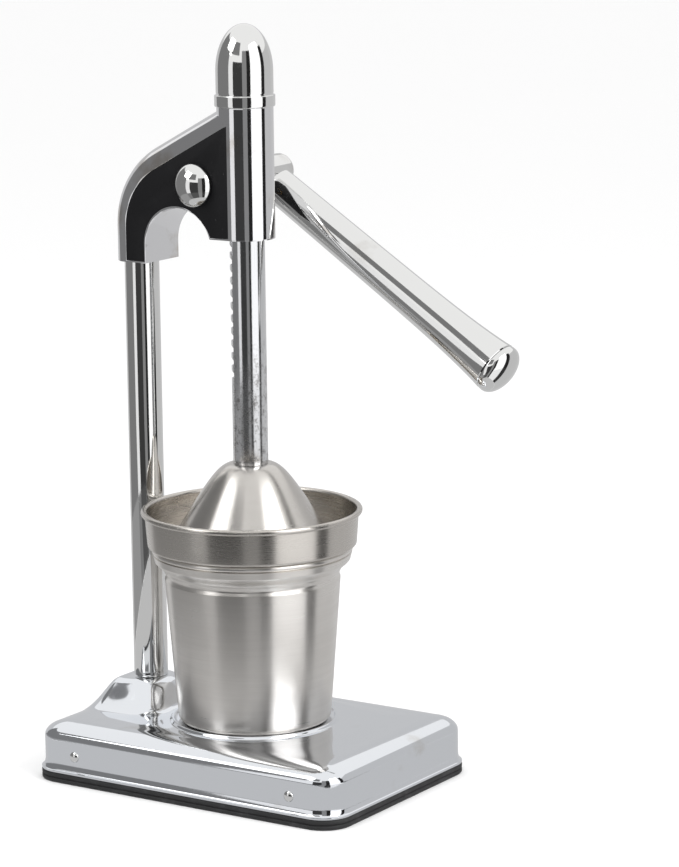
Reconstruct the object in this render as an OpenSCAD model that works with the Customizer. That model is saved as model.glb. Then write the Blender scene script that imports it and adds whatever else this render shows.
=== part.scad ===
// Hand lever citrus press: a chromed base and column carry a head casting.
// A lever turns a pinion, the pinion drives a toothed bar down, and the bar
// pushes a press cone into a strainer that stands on a juice cup.
// Frame: origin at the middle of the footprint on the table, +X from the
// column towards the cup, +Y towards the lever side, +Z up. Millimetres.

/* [Base] */
// Length of the footprint along X
base_length = 184; // [170:1:230]
// Width of the footprint along Y
base_width = 130; // [116:1:170]
// Corner radius of the footprint
base_corner_r = 15; // [12:0.5:24]
// Height of the flat top above the table
base_top_z = 30; // [26:0.5:40]
// Sheet thickness of the pressed base
base_sheet = 1.2; // [0.8:0.1:2]
// Radius of the rounding between the wall and the top
base_edge_r = 8; // [5:0.5:10]
// Height of the flared lip at the foot of the wall
lip_h = 6; // [4:0.5:8]
// How far the lip stands out from the wall
lip_out = 2; // [1:0.25:4]
// Height of the edge of the black rubber mat
rubber_h = 5; // [4:0.5:8]
// Thickness of the rubber mat under the base
mat_t = 2.5; // [1.5:0.25:4]
// Thickness of the closing plate under the base
floor_plate_t = 1.5; // [1:0.25:3]
// Height of the pressed hump that carries the column
hump_h = 14; // [8:0.5:20]
// Radius of the pressed hump at its foot
hump_r = 30; // [24:0.5:36]
// Radius of the raised ring that locates the cup
ring_r = 41.5; // [34:0.5:52]
// Height of the raised ring above the flat top
ring_h = 1.4; // [1:0.1:2.5]
// Diameter of the rivets in the long walls
rivet_d = 5.5; // [4:0.25:8]
// Distance of the rivets from the middle along X
rivet_x = 65; // [50:1:70]

/* [Column] */
// Distance from the cup axis back to the column axis
throat = 64.8; // [60:0.5:80]
// Outer diameter of the column tube
column_d = 17.5; // [15:0.25:19]
// Wall of the column tube
column_wall = 1.5; // [1:0.25:3]
// Height of the top end of the column above the table
column_top_z = 282; // [275:1:284]
// Diameter of the bolt that holds the column
column_bolt_d = 8; // [6:0.5:10]

/* [Head] */
// Width of the head casting along Y
head_w = 28; // [26:0.5:34]
// Height of the bottom of the leg above the table
leg_bottom_z = 260; // [250:1:266]
// Height of the bottom of the guide barrel
barrel_bottom_z = 274.5; // [270:0.5:280]
// Height of the top of the guide barrel
barrel_top_z = 339.5; // [335:0.5:350]
// Diameter of the guide barrel
barrel_d = 28; // [26:0.5:34]
// Radius of the arch between the leg and the barrel
arch_r = 20; // [16:0.5:21]
// Height of the arch centre above the table
arch_z = 269; // [266:0.5:271]
// Height of the centre of the outer bend above the table
bend_z = 278; // [272:0.5:282]
// Radius of the outer bend, at the edge of the side panel
bend_r = 34.3; // [30:0.1:38]
// Slope of the back of the arm in degrees
arm_slope = 28; // [22:0.5:34]
// How far the rounded back stands out from the edge of the side panel
crown = 10.4; // [10:0.1:14]
// Thickness of the black side panels
panel_t = 1.2; // [0.8:0.1:2]

/* [Cap] */
// Total height of the press above the table
total_h = 380; // [376:1:390]
// Height of the collar at the foot of the cap
collar_h = 5.8; // [3:0.1:8]
// Diameter of the collar
collar_d = 30; // [29:0.25:36]
// Diameter of the cap above its collar
cap_d = 28.4; // [27:0.1:32]
// Diameter of the hollow inside the cap
cap_bore_d = 19.2; // [18:0.1:21]

/* [Drive] */
// Module of the rack and the pinion
gear_module = 2; // [1.5:0.05:2.2]
// Number of teeth on the pinion
pinion_teeth = 15; // [13:1:17]
// Face width of the pinion along Y
pinion_w = 12; // [8:0.5:13]
// Play between meshing teeth, measured along the pitch line
backlash = 0.24; // [0.1:0.02:0.4]
// Height of the lever axle above the table
axle_z = 301; // [299:0.5:303]
// Diameter of the rack bar
rack_d = 17.5; // [15:0.25:18]
// Distance from the rack axis to the pitch line of its teeth
rack_pitch_x = 6.2; // [5.5:0.05:6.6]
// Height of the top of the rack bar with the press closed
rack_top_z = 317.5; // [314:0.5:320]
// Height of the lowest tooth with the press closed
rack_low_tooth_z = 206; // [190:1:230]
// Diameter of the axle inside the head
axle_d = 12; // [10:0.25:13]
// Diameter of the axle outside the head, where the lever enters it
hub_d = 17; // [15:0.25:20]
// Distance of the outer end of the axle from the middle plane
hub_end_y = 62; // [56:0.5:74]

/* [Lever] */
// Distance of the lever from the middle plane
lever_y = 46; // [42:0.5:56]
// Angle of the lever below the horizontal with the press closed
lever_drop = 33; // [0:0.5:60]
// Length of the lever from the axle to the end of the grip
lever_len = 171; // [150:1:220]
// Diameter of the grip at the axle end
grip_root_d = 18; // [16:0.25:22]
// Diameter of the grip near its outer end
grip_mid_d = 21; // [18:0.25:24]
// Diameter of the grip at its outer end
grip_end_d = 26; // [22:0.25:32]
// Wall of the grip tube
grip_wall = 1.4; // [1:0.1:2]
// Diameter of the steel rod inside the grip
rod_d = 9; // [7:0.25:10]

/* [Press cone] */
// Height of the flat top of the press cone with the press closed
cone_top_z = 161.5; // [150:0.5:170]
// Radius of the flat top of the cone
cone_top_r = 9.5; // [9:0.25:14]
// Radius of the cone at its mouth
cone_mouth_r = 41.5; // [36:0.5:46]
// Height of the cone
cone_h = 40; // [32:0.5:44]
// Sheet thickness of the press cone
cone_sheet = 1.2; // [0.8:0.1:2]

/* [Strainer and cup] */
// Height of the strainer rim above the table
rim_z = 138.7; // [130:0.1:150]
// Outer radius of the rolled rim of the strainer
rim_r = 55.6; // [50:0.1:64]
// Radius of the rolled bead on the rims
bead_r = 1.5; // [1:0.1:2.5]
// Depth of the straight band of the strainer below its rim
band_h = 19; // [14:0.5:24]
// Outer radius of the cup at its mouth
cup_mouth_r = 50.5; // [44:0.5:58]
// Outer radius of the cup under its shoulder
cup_neck_r = 44.5; // [38:0.5:50]
// Outer radius of the cup at its foot
cup_foot_r = 38.6; // [32:0.1:46]
// Height of the shoulder between the mouth and the neck of the cup
cup_shoulder_h = 12; // [8:0.5:16]
// Sheet thickness of the cup and the strainer
cup_sheet = 0.9; // [0.7:0.1:1.5]
// Height of the reamer cone above the strainer floor
reamer_h = 30; // [22:0.5:32]
// Diameter of the juice holes in the strainer
juice_hole_d = 3.2; // [2.5:0.1:4]

/* [Hidden] */

// Clearances
gap = 0.3;         // open gap between pieces that move past each other
run = 0.06;        // running fit, on the radius
snug = 0.02;       // pressed or screwed fit, on the radius
join = 0.05;       // overlap that makes one solid from two shapes

cup_x = 2.4;
column_x = cup_x - throat;
axle_x = cup_x - rack_pitch_x - gear_module * pinion_teeth / 2;
half_w = head_w / 2;
steel = [0.74, 0.75, 0.77];
chrome = [0.85, 0.86, 0.88];
black = [0.08, 0.08, 0.09];
brushed = [0.70, 0.69, 0.66];
round_fn = 64;
soft_fn = 32;

// ---------- shared shapes ----------

// A flat slab with round corners, centred on the origin in X and Y
module slab(length, width, corner, low, high) {
    translate([0, 0, low])
        linear_extrude(height = high - low)
            rounded_rectangle(length, width, corner);
}

module rounded_rectangle(length, width, corner) {
    union() {
        square([length - 2 * corner, width], center = true);
        square([length, width - 2 * corner], center = true);
        for (sx = [-1, 1])
            for (sy = [-1, 1])
                translate([sx * (length / 2 - corner), sy * (width / 2 - corner)])
                    circle(r = corner, $fn = round_fn);
    }
}

// A cylinder along +Y from one Y to another
module y_rod(radius, from_y, to_y) {
    translate([0, from_y, 0])
        rotate([-90, 0, 0])
            cylinder(r = radius, h = to_y - from_y, $fn = round_fn);
}

// Smooth step from 0 to 1
function smooth(t) = t * t * (3 - 2 * t);

// ---------- base ----------

wall_length = base_length - 2 * lip_out;
wall_width = base_width - 2 * lip_out;
wall_corner = base_corner_r - lip_out;
hump_top_z = base_top_z + hump_h;
rivet_z = rubber_h + lip_h + rivet_d / 2 + 0.5;
rivet_shank_r = rivet_d / 3.4;
flange_w = 12;
flange_y = wall_width / 2 - base_sheet - floor_plate_t / 2;

// Repeats its children at the four corners of a rectangle
module at_corners(length, width) {
    for (sx = [-1, 1])
        for (sy = [-1, 1])
            translate([sx * length / 2, sy * width / 2, 0])
                children();
}

// The pressed body, with every wall moved inwards by inset
module base_form(inset) {
    hull()
        at_corners(wall_length - 2 * wall_corner, wall_width - 2 * wall_corner)
            rotate_extrude($fn = soft_fn)
                polygon(concat(
                    [[0, rubber_h], [wall_corner - inset, rubber_h]],
                    [for (a = [0:10:90])
                        [wall_corner - base_edge_r + (base_edge_r - inset) * cos(a),
                         base_top_z - base_edge_r + (base_edge_r - inset) * sin(a)]],
                    [[0, base_top_z - inset]]));
}

// Height of the hump at step t, from 0 at its foot to 1 at its crest
function hump_outline(inset) = [
    for (i = [0:16])
        let (t = i / 16, r = hump_r + (column_d / 2 + 1 - hump_r) * t)
            [r, base_top_z - inset + hump_h * smooth(t)]
];

// The pressed hump round the column: it runs out level into the end wall, and is
// cut back where the cup stands
module hump(inset) {
    outline = hump_outline(inset);
    difference() {
        intersection() {
            translate([column_x, 0, 0])
                union() {
                    rotate_extrude($fn = round_fn)
                        polygon(concat(
                            [[0, base_top_z - base_edge_r], [hump_r, base_top_z - base_edge_r]],
                            outline,
                            [[0, hump_top_z - inset]]));
                    rotate([90, 0, -90])
                        linear_extrude(height = wall_length / 2 + column_x + 1)
                            polygon(concat(
                                [[hump_r, base_top_z - base_edge_r]],
                                outline,
                                reversed([for (p = outline) [-p[0], p[1]]]),
                                [[-hump_r, base_top_z - base_edge_r]]));
                }
            hull() {
                slab(wall_length - 2 * inset, wall_width - 2 * inset, wall_corner,
                     base_top_z - base_edge_r - 2, base_top_z + hump_h / 4 - inset);
                slab(wall_length - 2 * hump_h, wall_width / 2,
                     wall_corner, hump_top_z - 1, hump_top_z + 1);
            }
        }
        translate([cup_x, 0, base_top_z - inset])
            cylinder(r = ring_r + ring_h, h = hump_h + 1, $fn = round_fn);
    }
}

// Rivets stand across the long walls at this spot
module at_rivets() {
    for (sx = [-1, 1])
        for (side = [0, 180])
            rotate([0, 0, side])
                translate([sx * rivet_x, -wall_width / 2, rivet_z])
                    rotate([-90, 0, 0])
                        children();
}

module base_shell() {
    color(chrome)
    difference() {
        union() {
            base_form(0);
            hump(0);
            hull() {
                slab(base_length, base_width, base_corner_r, rubber_h, rubber_h + 2);
                slab(wall_length, wall_width, wall_corner, rubber_h, rubber_h + lip_h);
            }
            translate([cup_x, 0, base_top_z - join])
                rotate_extrude($fn = round_fn)
                    intersection() {
                        translate([ring_r, join])
                            circle(r = ring_h, $fn = 24);
                        square([ring_r * 2, ring_h * 2]);
                    }
        }
        base_form(base_sheet);
        slab(wall_length - 2 * base_sheet, wall_width - 2 * base_sheet,
             wall_corner - base_sheet, 0, rubber_h + lip_h);
        hump(base_sheet);
        translate([column_x, 0, base_top_z])
            cylinder(d = column_bolt_d + 2 * gap, h = total_h, $fn = round_fn);
        at_rivets()
            translate([0, 0, -1])
                cylinder(r = rivet_shank_r + snug, h = base_sheet + 2, $fn = soft_fn);
    }
}

module base_floor_plate() {
    color(steel)
    difference() {
        union() {
            slab(wall_length - 2 * base_sheet - gap, wall_width - 2 * base_sheet - gap,
                 wall_corner - base_sheet, rubber_h, rubber_h + floor_plate_t);
            for (sx = [-1, 1])
                for (sy = [-1, 1])
                    translate([sx * rivet_x - flange_w / 2,
                               sy * flange_y - floor_plate_t / 2, rubber_h])
                        cube([flange_w, floor_plate_t, rivet_z + rivet_d - rubber_h]);
        }
        at_rivets()
            translate([0, 0, base_sheet - 1])
                cylinder(r = rivet_shank_r + snug, h = floor_plate_t + 2, $fn = soft_fn);
    }
}

module base_rivets() {
    head_h = rivet_d / 4;
    color(chrome)
    at_rivets()
        rotate_extrude($fn = soft_fn)
            polygon(concat(
                [for (i = [0:6]) [rivet_d / 2 * sin(15 * i), -head_h * cos(15 * i)]],
                [[rivet_shank_r, 0],
                 [rivet_shank_r, base_sheet + floor_plate_t],
                 [rivet_d / 2, base_sheet + floor_plate_t],
                 [rivet_d / 3, base_sheet + floor_plate_t + head_h],
                 [0, base_sheet + floor_plate_t + head_h]]));
}

module rubber_mat() {
    groove = 0.6;
    color(black)
    difference() {
        slab(base_length, base_width, base_corner_r, 0, rubber_h);
        slab(base_length - 14, base_width - 14, base_corner_r - 7, mat_t, rubber_h + 1);
        difference() {
            slab(base_length + 4, base_width + 4, base_corner_r + 2,
                 rubber_h / 2 - groove / 2, rubber_h / 2 + groove / 2);
            slab(base_length - 2 * groove, base_width - 2 * groove,
                 base_corner_r - groove, 0, rubber_h);
        }
    }
}

// ---------- column ----------

plug_h = 24;
bolt_head_h = 5.3;
washer_t = 1.6;
column_r = column_d / 2;
plug_r = column_r - column_wall - snug;

module at_column() {
    translate([column_x, 0, 0])
        children();
}

module column_tube() {
    color(chrome)
    at_column()
        difference() {
            translate([0, 0, hump_top_z])
                cylinder(r = column_r, h = column_top_z - hump_top_z, $fn = round_fn);
            translate([0, 0, hump_top_z - 1])
                cylinder(r = column_r - column_wall, h = total_h, $fn = round_fn);
        }
}

module column_plug() {
    color(steel)
    at_column()
        difference() {
            translate([0, 0, hump_top_z])
                cylinder(r = plug_r, h = plug_h, $fn = round_fn);
            translate([0, 0, hump_top_z - 1])
                cylinder(r = column_bolt_d / 2 + snug, h = plug_h - 4, $fn = round_fn);
        }
}

module column_washer() {
    color(steel)
    at_column()
        translate([0, 0, hump_top_z - base_sheet - washer_t])
            difference() {
                cylinder(r = column_r, h = washer_t, $fn = round_fn);
                translate([0, 0, -1])
                    cylinder(d = column_bolt_d + 2 * gap, h = washer_t + 2, $fn = round_fn);
            }
}

module column_bolt() {
    seat_z = hump_top_z - base_sheet - washer_t;
    color(steel)
    at_column()
        union() {
            translate([0, 0, seat_z - bolt_head_h])
                cylinder(d = column_bolt_d * 1.8, h = bolt_head_h, $fn = 6);
            translate([0, 0, seat_z - join])
                cylinder(d = column_bolt_d, h = plug_h - 6 + base_sheet + washer_t,
                         $fn = round_fn);
        }
}

// ---------- head ----------

socket_top_z = column_top_z + gap;
bend_x = column_x + bend_r;
leg_wall = 4;
arch_x = column_x + column_r + arch_r + leg_wall;
chamber_r = gear_module * pinion_teeth / 2 + gear_module + 0.7;
chamber_w = pinion_w + 1;
bush_r = axle_d / 2 + 2;
grub_d = 5;
grub_z = (leg_bottom_z + column_top_z) / 2;

// Turns a drawing in X and Z into a plate from one Y to another
module plate_y(from_y, to_y) {
    translate([0, to_y, 0])
        rotate([90, 0, 0])
            linear_extrude(height = to_y - from_y)
                children();
}

// Outline of the flat side of the head, seen along Y
module side_outline() {
    foot_x = bend_x - bend_r * sin(arm_slope);
    foot_z = bend_z + bend_r * cos(arm_slope);
    difference() {
        union() {
            polygon(concat(
                [[column_x, leg_bottom_z], [column_x, bend_z]],
                [for (a = [0:4:90 - arm_slope])
                    [bend_x - bend_r * cos(a), bend_z + bend_r * sin(a)]],
                [[foot_x, foot_z],
                 [cup_x, foot_z + (cup_x - foot_x) * tan(arm_slope)],
                 [cup_x, barrel_bottom_z],
                 [arch_x, barrel_bottom_z],
                 [arch_x, leg_bottom_z]]));
        }
        translate([arch_x, arch_z])
            circle(r = arch_r, $fn = round_fn);
        translate([arch_x - arch_r, leg_bottom_z - 10])
            square([arch_r + 10, arch_z - leg_bottom_z + 10]);
    }
}

// Cross-section of the rounded back: x is how far it stands out
module crown_section() {
    polygon(concat(
        [[-2, -half_w]],
        [for (a = [-90:10:90]) [crown * cos(a), half_w * sin(a)]],
        [[-2, half_w]]));
}

module rounded_back() {
    arm_l = (cup_x - bend_x + bend_r * sin(arm_slope)) / cos(arm_slope);
    difference() {
        union() {
            translate([column_x, 0, leg_bottom_z])
                mirror([1, 0, 0])
                    linear_extrude(height = bend_z - leg_bottom_z)
                        crown_section();
            translate([bend_x, 0, bend_z])
                rotate([90, 0, 0])
                    rotate([0, 0, 90 + arm_slope])
                        rotate_extrude(angle = 90 - arm_slope, $fn = round_fn)
                            translate([bend_r, 0])
                                crown_section();
            translate([bend_x, 0, bend_z])
                rotate([0, -arm_slope, 0])
                    translate([0, 0, bend_r])
                        rotate([0, 90, 0])
                            linear_extrude(height = arm_l)
                                mirror([1, 0, 0])
                                    crown_section();
        }
        translate([column_x, -half_w - 1, barrel_top_z - 1.5])
            cube([throat + barrel_d, head_w + 2, 40]);
    }
}

module axle_line(radius, from_y, to_y) {
    translate([axle_x, 0, axle_z])
        y_rod(radius, from_y, to_y);
}

module head_casting() {
    color(chrome)
    difference() {
        union() {
            plate_y(-half_w, half_w)
                side_outline();
            rounded_back();
            translate([cup_x, 0, barrel_bottom_z])
                cylinder(d = barrel_d, h = barrel_top_z - barrel_bottom_z, $fn = round_fn);
        }
        translate([cup_x, 0, barrel_bottom_z - 1])
            cylinder(r = rack_d / 2 + run, h = total_h, $fn = round_fn);
        translate([cup_x, 0, barrel_top_z - cap_spigot_h - gap])
            cylinder(r = cap_spigot_r + snug, h = total_h, $fn = round_fn);
        at_column()
            translate([0, 0, leg_bottom_z - 1])
                cylinder(r = column_r + snug, h = socket_top_z - leg_bottom_z + 1,
                         $fn = round_fn);
        axle_line(chamber_r, -chamber_w / 2, chamber_w / 2);
        translate([axle_x - chamber_r, -chamber_w / 2, barrel_bottom_z - 10])
            cube([cup_x - axle_x + chamber_r, chamber_w, axle_z - barrel_bottom_z + 10]);
        axle_line(bush_r + snug, -half_w - 1, half_w + 1);
        plate_y(-half_w - 1, panel_t - half_w)
            panel_outline(0);
        plate_y(half_w - panel_t, half_w + 1)
            panel_outline(0);
        translate([column_x - column_r - 20, 0, grub_z])
            rotate([0, 90, 0])
                cylinder(d = grub_d + 2 * snug, h = 20, $fn = soft_fn);
    }
}

// Outline of a side panel: the flat side less a bright margin
module panel_outline(inset) {
    margin = 0.8 + inset;
    intersection() {
        side_outline();
        translate([margin, -margin])
            side_outline();
        translate([-margin, margin])
            side_outline();
        translate([column_x, leg_bottom_z + margin])
            square([throat - 1.5 - inset, 100]);
    }
}

module side_panel() {
    difference() {
        plate_y(0, panel_t)
            panel_outline(0.05);
        translate([axle_x, 0, axle_z])
            y_rod(bush_r + 0.5, -1, panel_t + 1);
    }
}

module near_side_panel() {
    color(black)
    translate([0, -half_w, 0])
        side_panel();
}

module far_side_panel() {
    color(black)
    translate([0, half_w - panel_t, 0])
        side_panel();
}

module column_grub_screw() {
    color(steel)
    translate([column_x - column_r, 0, grub_z])
        rotate([0, -90, 0])
            difference() {
                cylinder(d = grub_d, h = crown - column_r + 1.2, $fn = soft_fn);
                translate([0, 0, 1])
                    cylinder(d = grub_d * 0.5, h = 10, $fn = 6);
            }
}

// Sleeve bearing in one wall of the head, from the chamber to the panel
module axle_bush(from_y, to_y) {
    color("goldenrod")
    difference() {
        axle_line(bush_r, from_y, to_y);
        axle_line(axle_d / 2 + run, from_y - 1, to_y + 1);
    }
}

module near_axle_bush() {
    axle_bush(-half_w, -chamber_w / 2);
}

module far_axle_bush() {
    axle_bush(chamber_w / 2, half_w);
}

// ---------- cap ----------

cap_spigot_h = 6;
cap_spigot_r = cap_bore_d / 2 + 1.9;
cap_base_z = barrel_top_z + collar_h;
cap_nose_h = 23;

module top_cap() {
    nose_z = total_h - cap_nose_h;
    hollow_top = total_h - 8;
    color(chrome)
    translate([cup_x, 0, 0])
        rotate_extrude($fn = round_fn)
            polygon(concat(
                [[cap_bore_d / 2, barrel_top_z - cap_spigot_h],
                 [cap_spigot_r, barrel_top_z - cap_spigot_h],
                 [cap_spigot_r, barrel_top_z],
                 [collar_d / 2 - 0.4, barrel_top_z],
                 [collar_d / 2, barrel_top_z + 0.6],
                 [collar_d / 2, cap_base_z - 0.8],
                 [collar_d / 2 - 0.3, cap_base_z],
                 [cap_d / 2, cap_base_z]],
                [for (a = [0:6:84])
                    [cap_d / 2 * cos(a), nose_z + cap_nose_h * sin(a)]],
                [[0, total_h],
                 [0, hollow_top],
                 [cap_bore_d / 2 - 2, hollow_top],
                 [cap_bore_d / 2, hollow_top - 3]]));
}

// ---------- drive ----------

pressure_angle = 20;
pitch_r = gear_module * pinion_teeth / 2;
tooth_pitch = PI * gear_module;
base_circle_r = pitch_r * cos(pressure_angle);
pinion_tip_r = pitch_r + 0.95 * gear_module;
pinion_root_r = pitch_r - 1.15 * gear_module;
rack_addendum = 0.83 * gear_module;
rack_dedendum = 1.15 * gear_module;
tooth_w = tooth_pitch / 2 - backlash / 2;
pin_r = 1.5;

// Involute angle of a pressure angle, in degrees
function inv(a) = tan(a) * 180 / PI - a;

// Half the angle that a tooth spans at radius r
function half_tooth(r) =
    tooth_w / (2 * pitch_r) * 180 / PI + inv(pressure_angle)
    - inv(acos(min(1, base_circle_r / r)));

function polar(r, a) = [r * cos(a), r * sin(a)];

flank_steps = 5;
function flank_r(i) = base_circle_r + (pinion_tip_r - base_circle_r) * i / flank_steps;

module pinion_outline() {
    polygon([
        for (k = [0:pinion_teeth - 1])
            let (mid = k * 360 / pinion_teeth)
                each concat(
                    [polar(pinion_root_r, mid - half_tooth(base_circle_r))],
                    [for (i = [0:flank_steps]) polar(flank_r(i), mid - half_tooth(flank_r(i)))],
                    [for (i = [flank_steps:-1:0]) polar(flank_r(i), mid + half_tooth(flank_r(i)))],
                    [polar(pinion_root_r, mid + half_tooth(base_circle_r))])
    ]);
}

module pinion() {
    color(steel)
    difference() {
        translate([axle_x, 0, axle_z])
            plate_y(-pinion_w / 2, pinion_w / 2)
                pinion_outline();
        axle_line(axle_d / 2 + snug, -pinion_w, pinion_w);
        translate([axle_x, 0, axle_z - pinion_tip_r - 1])
            cylinder(r = pin_r + snug, h = 2 * pinion_tip_r + 2, $fn = soft_fn);
    }
}

module pinion_pin() {
    color(steel)
    translate([axle_x, 0, axle_z - pinion_root_r + 0.5])
        cylinder(r = pin_r, h = 2 * pinion_root_r - 1, $fn = soft_fn);
}

nut_thread_r = axle_d / 2 - 1;
nut_washer_t = 1;
nut_r = 10.8;
nut_h = 7;
nut_seat_y = -half_w - gap - nut_washer_t;

module axle() {
    color(steel)
    difference() {
        union() {
            axle_line(nut_thread_r, nut_seat_y - 5, -half_w);
            axle_line(axle_d / 2, -half_w - gap, half_w + gap + join);
            translate([axle_x, half_w + gap, axle_z])
                rotate([-90, 0, 0])
                    rotate_extrude($fn = round_fn)
                        polygon([
                            [0, 0], [hub_d / 2 - 0.5, 0], [hub_d / 2, 0.5],
                            [hub_d / 2, hub_end_y - half_w - gap - 2],
                            [hub_d / 2 - 1.2, hub_end_y - half_w - gap - 0.4],
                            [hub_d / 2 - 2.4, hub_end_y - half_w - gap],
                            [0, hub_end_y - half_w - gap]]);
        }
        translate([axle_x, 0, axle_z - axle_d])
            cylinder(r = pin_r + snug, h = 2 * axle_d, $fn = soft_fn);
        along_lever()
            translate([0, 0, -hub_d / 2 + 1.5])
                cylinder(r = rod_d / 2 + snug, h = hub_d * 2, $fn = round_fn);
    }
}

module dome_nut() {
    dome_r = (nut_r * nut_r + nut_h * nut_h) / (2 * nut_h);
    dome_a = asin(nut_r / dome_r);
    color(chrome)
    translate([axle_x, nut_seat_y, axle_z])
        rotate([90, 0, 0])
            difference() {
                rotate_extrude($fn = round_fn)
                    polygon(concat(
                        [[0, 0], [nut_r - 0.3, 0]],
                        [for (i = [0:8])
                            let (a = dome_a * (1 - i / 8))
                                [dome_r * sin(a), nut_h - dome_r + dome_r * cos(a)]]));
                translate([0, 0, -1])
                    cylinder(r = nut_thread_r + snug, h = 6.2, $fn = round_fn);
            }
}

module dome_nut_washer() {
    color(steel)
    difference() {
        axle_line(nut_r - 0.6, nut_seat_y, nut_seat_y + nut_washer_t);
        axle_line(nut_thread_r + snug, nut_seat_y - 1, nut_seat_y + 2);
    }
}

module rack_bar() {
    pitch_x = cup_x - rack_pitch_x;
    tip_x = pitch_x - rack_addendum;
    root_x = pitch_x + rack_dedendum;
    tip_half = tooth_pitch / 2 - tooth_w / 2 + rack_addendum * tan(pressure_angle);
    root_half = tooth_pitch / 2 - tooth_w / 2 - rack_dedendum * tan(pressure_angle);
    first = ceil((rack_low_tooth_z - axle_z) / tooth_pitch);
    last = ceil((rack_top_z - axle_z) / tooth_pitch);
    low_z = axle_z + (first - 0.5) * tooth_pitch - 2;
    far_x = rack_d;
    color(steel)
    difference() {
        intersection() {
            translate([cup_x, 0, cone_top_z])
                rotate_extrude($fn = round_fn)
                    polygon([
                        [0, 0], [rack_d / 2, 0],
                        [rack_d / 2, rack_top_z - cone_top_z - 1.2],
                        [rack_d / 2 - 1.2, rack_top_z - cone_top_z],
                        [0, rack_top_z - cone_top_z]]);
            plate_y(-rack_d, rack_d)
                polygon(concat(
                    [[cup_x + far_x, cone_top_z - 1],
                     [cup_x + far_x, axle_z + (last + 0.5) * tooth_pitch],
                     [tip_x, axle_z + (last + 0.5) * tooth_pitch]],
                    [for (k = [last:-1:first])
                        let (mid = axle_z + k * tooth_pitch)
                            each [[tip_x, mid + tip_half], [root_x, mid + root_half],
                                  [root_x, mid - root_half], [tip_x, mid - tip_half]]],
                    [[tip_x, low_z], [cup_x - far_x, low_z - 2],
                     [cup_x - far_x, cone_top_z - 1]]));
        }
        translate([cup_x, 0, cone_top_z - 1])
            cylinder(r = cone_screw_d / 2 + snug, h = cone_screw_l, $fn = soft_fn);
    }
}

// ---------- lever ----------

grip_start = hub_d / 2 + 1.3;
grip_cap_h = 9;
grip_end = lever_len - grip_cap_h;
grip_root_r = grip_root_d / 2;
grip_mid_r = grip_mid_d / 2;
grip_end_r = grip_end_d / 2;

// Places its children at the lever's root, with +Z along the lever
module along_lever() {
    translate([axle_x, lever_y, axle_z])
        rotate([0, 90 + lever_drop, 0])
            children();
}

// Outer radius of the grip: t runs from 0 at the axle end to 1 at the cap
function grip_r(t) =
    grip_root_r + (grip_mid_r - grip_root_r) * t
    + (grip_end_r - grip_mid_r) * pow(t, 7);

grip_steps = 28;
function grip_line(inset) = [
    for (i = [0:grip_steps])
        let (t = i / grip_steps)
            [grip_r(t) - inset, grip_start + (grip_end - grip_start) * t]
];

function reversed(list) = [for (i = [len(list) - 1:-1:0]) list[i]];

module lever_rod() {
    color(steel)
    along_lever()
        translate([0, 0, -hub_d / 2 + 1.8])
            cylinder(r = rod_d / 2, h = grip_end + hub_d / 2 + 1, $fn = round_fn);
}

module lever_grip() {
    color(chrome)
    along_lever()
        rotate_extrude($fn = round_fn)
            polygon(concat(
                [[grip_root_r - grip_wall, grip_start + 0.6]],
                [[grip_root_r - grip_wall, grip_start], [grip_root_r - 0.7, grip_start]],
                [for (p = grip_line(0)) if (p[1] > grip_start + 0.5) p],
                reversed([for (p = grip_line(grip_wall)) if (p[1] > grip_start + 0.5) p])));
}

module grip_root_collar() {
    color(steel)
    along_lever()
        translate([0, 0, grip_start + 0.4])
            difference() {
                cylinder(r = grip_root_r - grip_wall - snug, h = 7, $fn = round_fn);
                translate([0, 0, -1])
                    cylinder(r = rod_d / 2 + snug, h = 9, $fn = round_fn);
            }
}

module grip_end_cap() {
    spigot_r = grip_end_r - grip_wall - 1.6;
    color(chrome)
    along_lever()
        difference() {
            rotate_extrude($fn = round_fn)
                polygon(concat(
                    [[0, grip_end - 4], [spigot_r - 0.5, grip_end - 4],
                     [spigot_r, grip_end - 3.5], [spigot_r, grip_end],
                     [grip_end_r - 0.4, grip_end], [grip_end_r, grip_end + 0.4],
                     [grip_end_r, grip_end + 2]],
                    [for (a = [10:10:80])
                        [grip_end_r * cos(a), grip_end + 2 + (grip_cap_h - 2) * sin(a)]],
                    [[0, lever_len]]));
            translate([0, 0, grip_end - 5])
                cylinder(r = rod_d / 2 + snug, h = 9, $fn = round_fn);
        }
}

// ---------- press cone ----------

cone_screw_d = 6;
cone_screw_l = 17;
cone_screw_head_h = 4;
cone_washer_t = 1.5;
cone_mouth_z = cone_top_z - cone_h;

function bezier(a, b, c, d, t) =
    a * pow(1 - t, 3) + b * 3 * t * pow(1 - t, 2) + c * 3 * t * t * (1 - t) + d * pow(t, 3);

// Bell line of the cone, lowered by drop
function cone_line(drop) = [
    for (i = [0:18])
        bezier([cone_top_r, cone_top_z - drop],
               [cone_top_r + 0.75 * rack_d / 2 + 1, cone_top_z - drop],
               [(cone_top_r + cone_mouth_r) / 2 - 2.2, cone_top_z - 0.29 * cone_h - drop],
               [cone_mouth_r, cone_mouth_z - drop], i / 18)
];

module press_cone() {
    drop = cone_sheet * 1.4;
    rolled = 1.1;
    color(brushed)
    translate([cup_x, 0, 0])
        union() {
            rotate_extrude($fn = round_fn)
                polygon(concat(
                    [[cone_screw_d / 2 + gap, cone_top_z]],
                    cone_line(0),
                    reversed(cone_line(drop)),
                    [[cone_screw_d / 2 + gap, cone_top_z - drop]]));
            rotate_extrude($fn = round_fn)
                translate([cone_mouth_r - 0.4, cone_mouth_z - drop])
                    circle(r = rolled, $fn = 16);
        }
}

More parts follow.
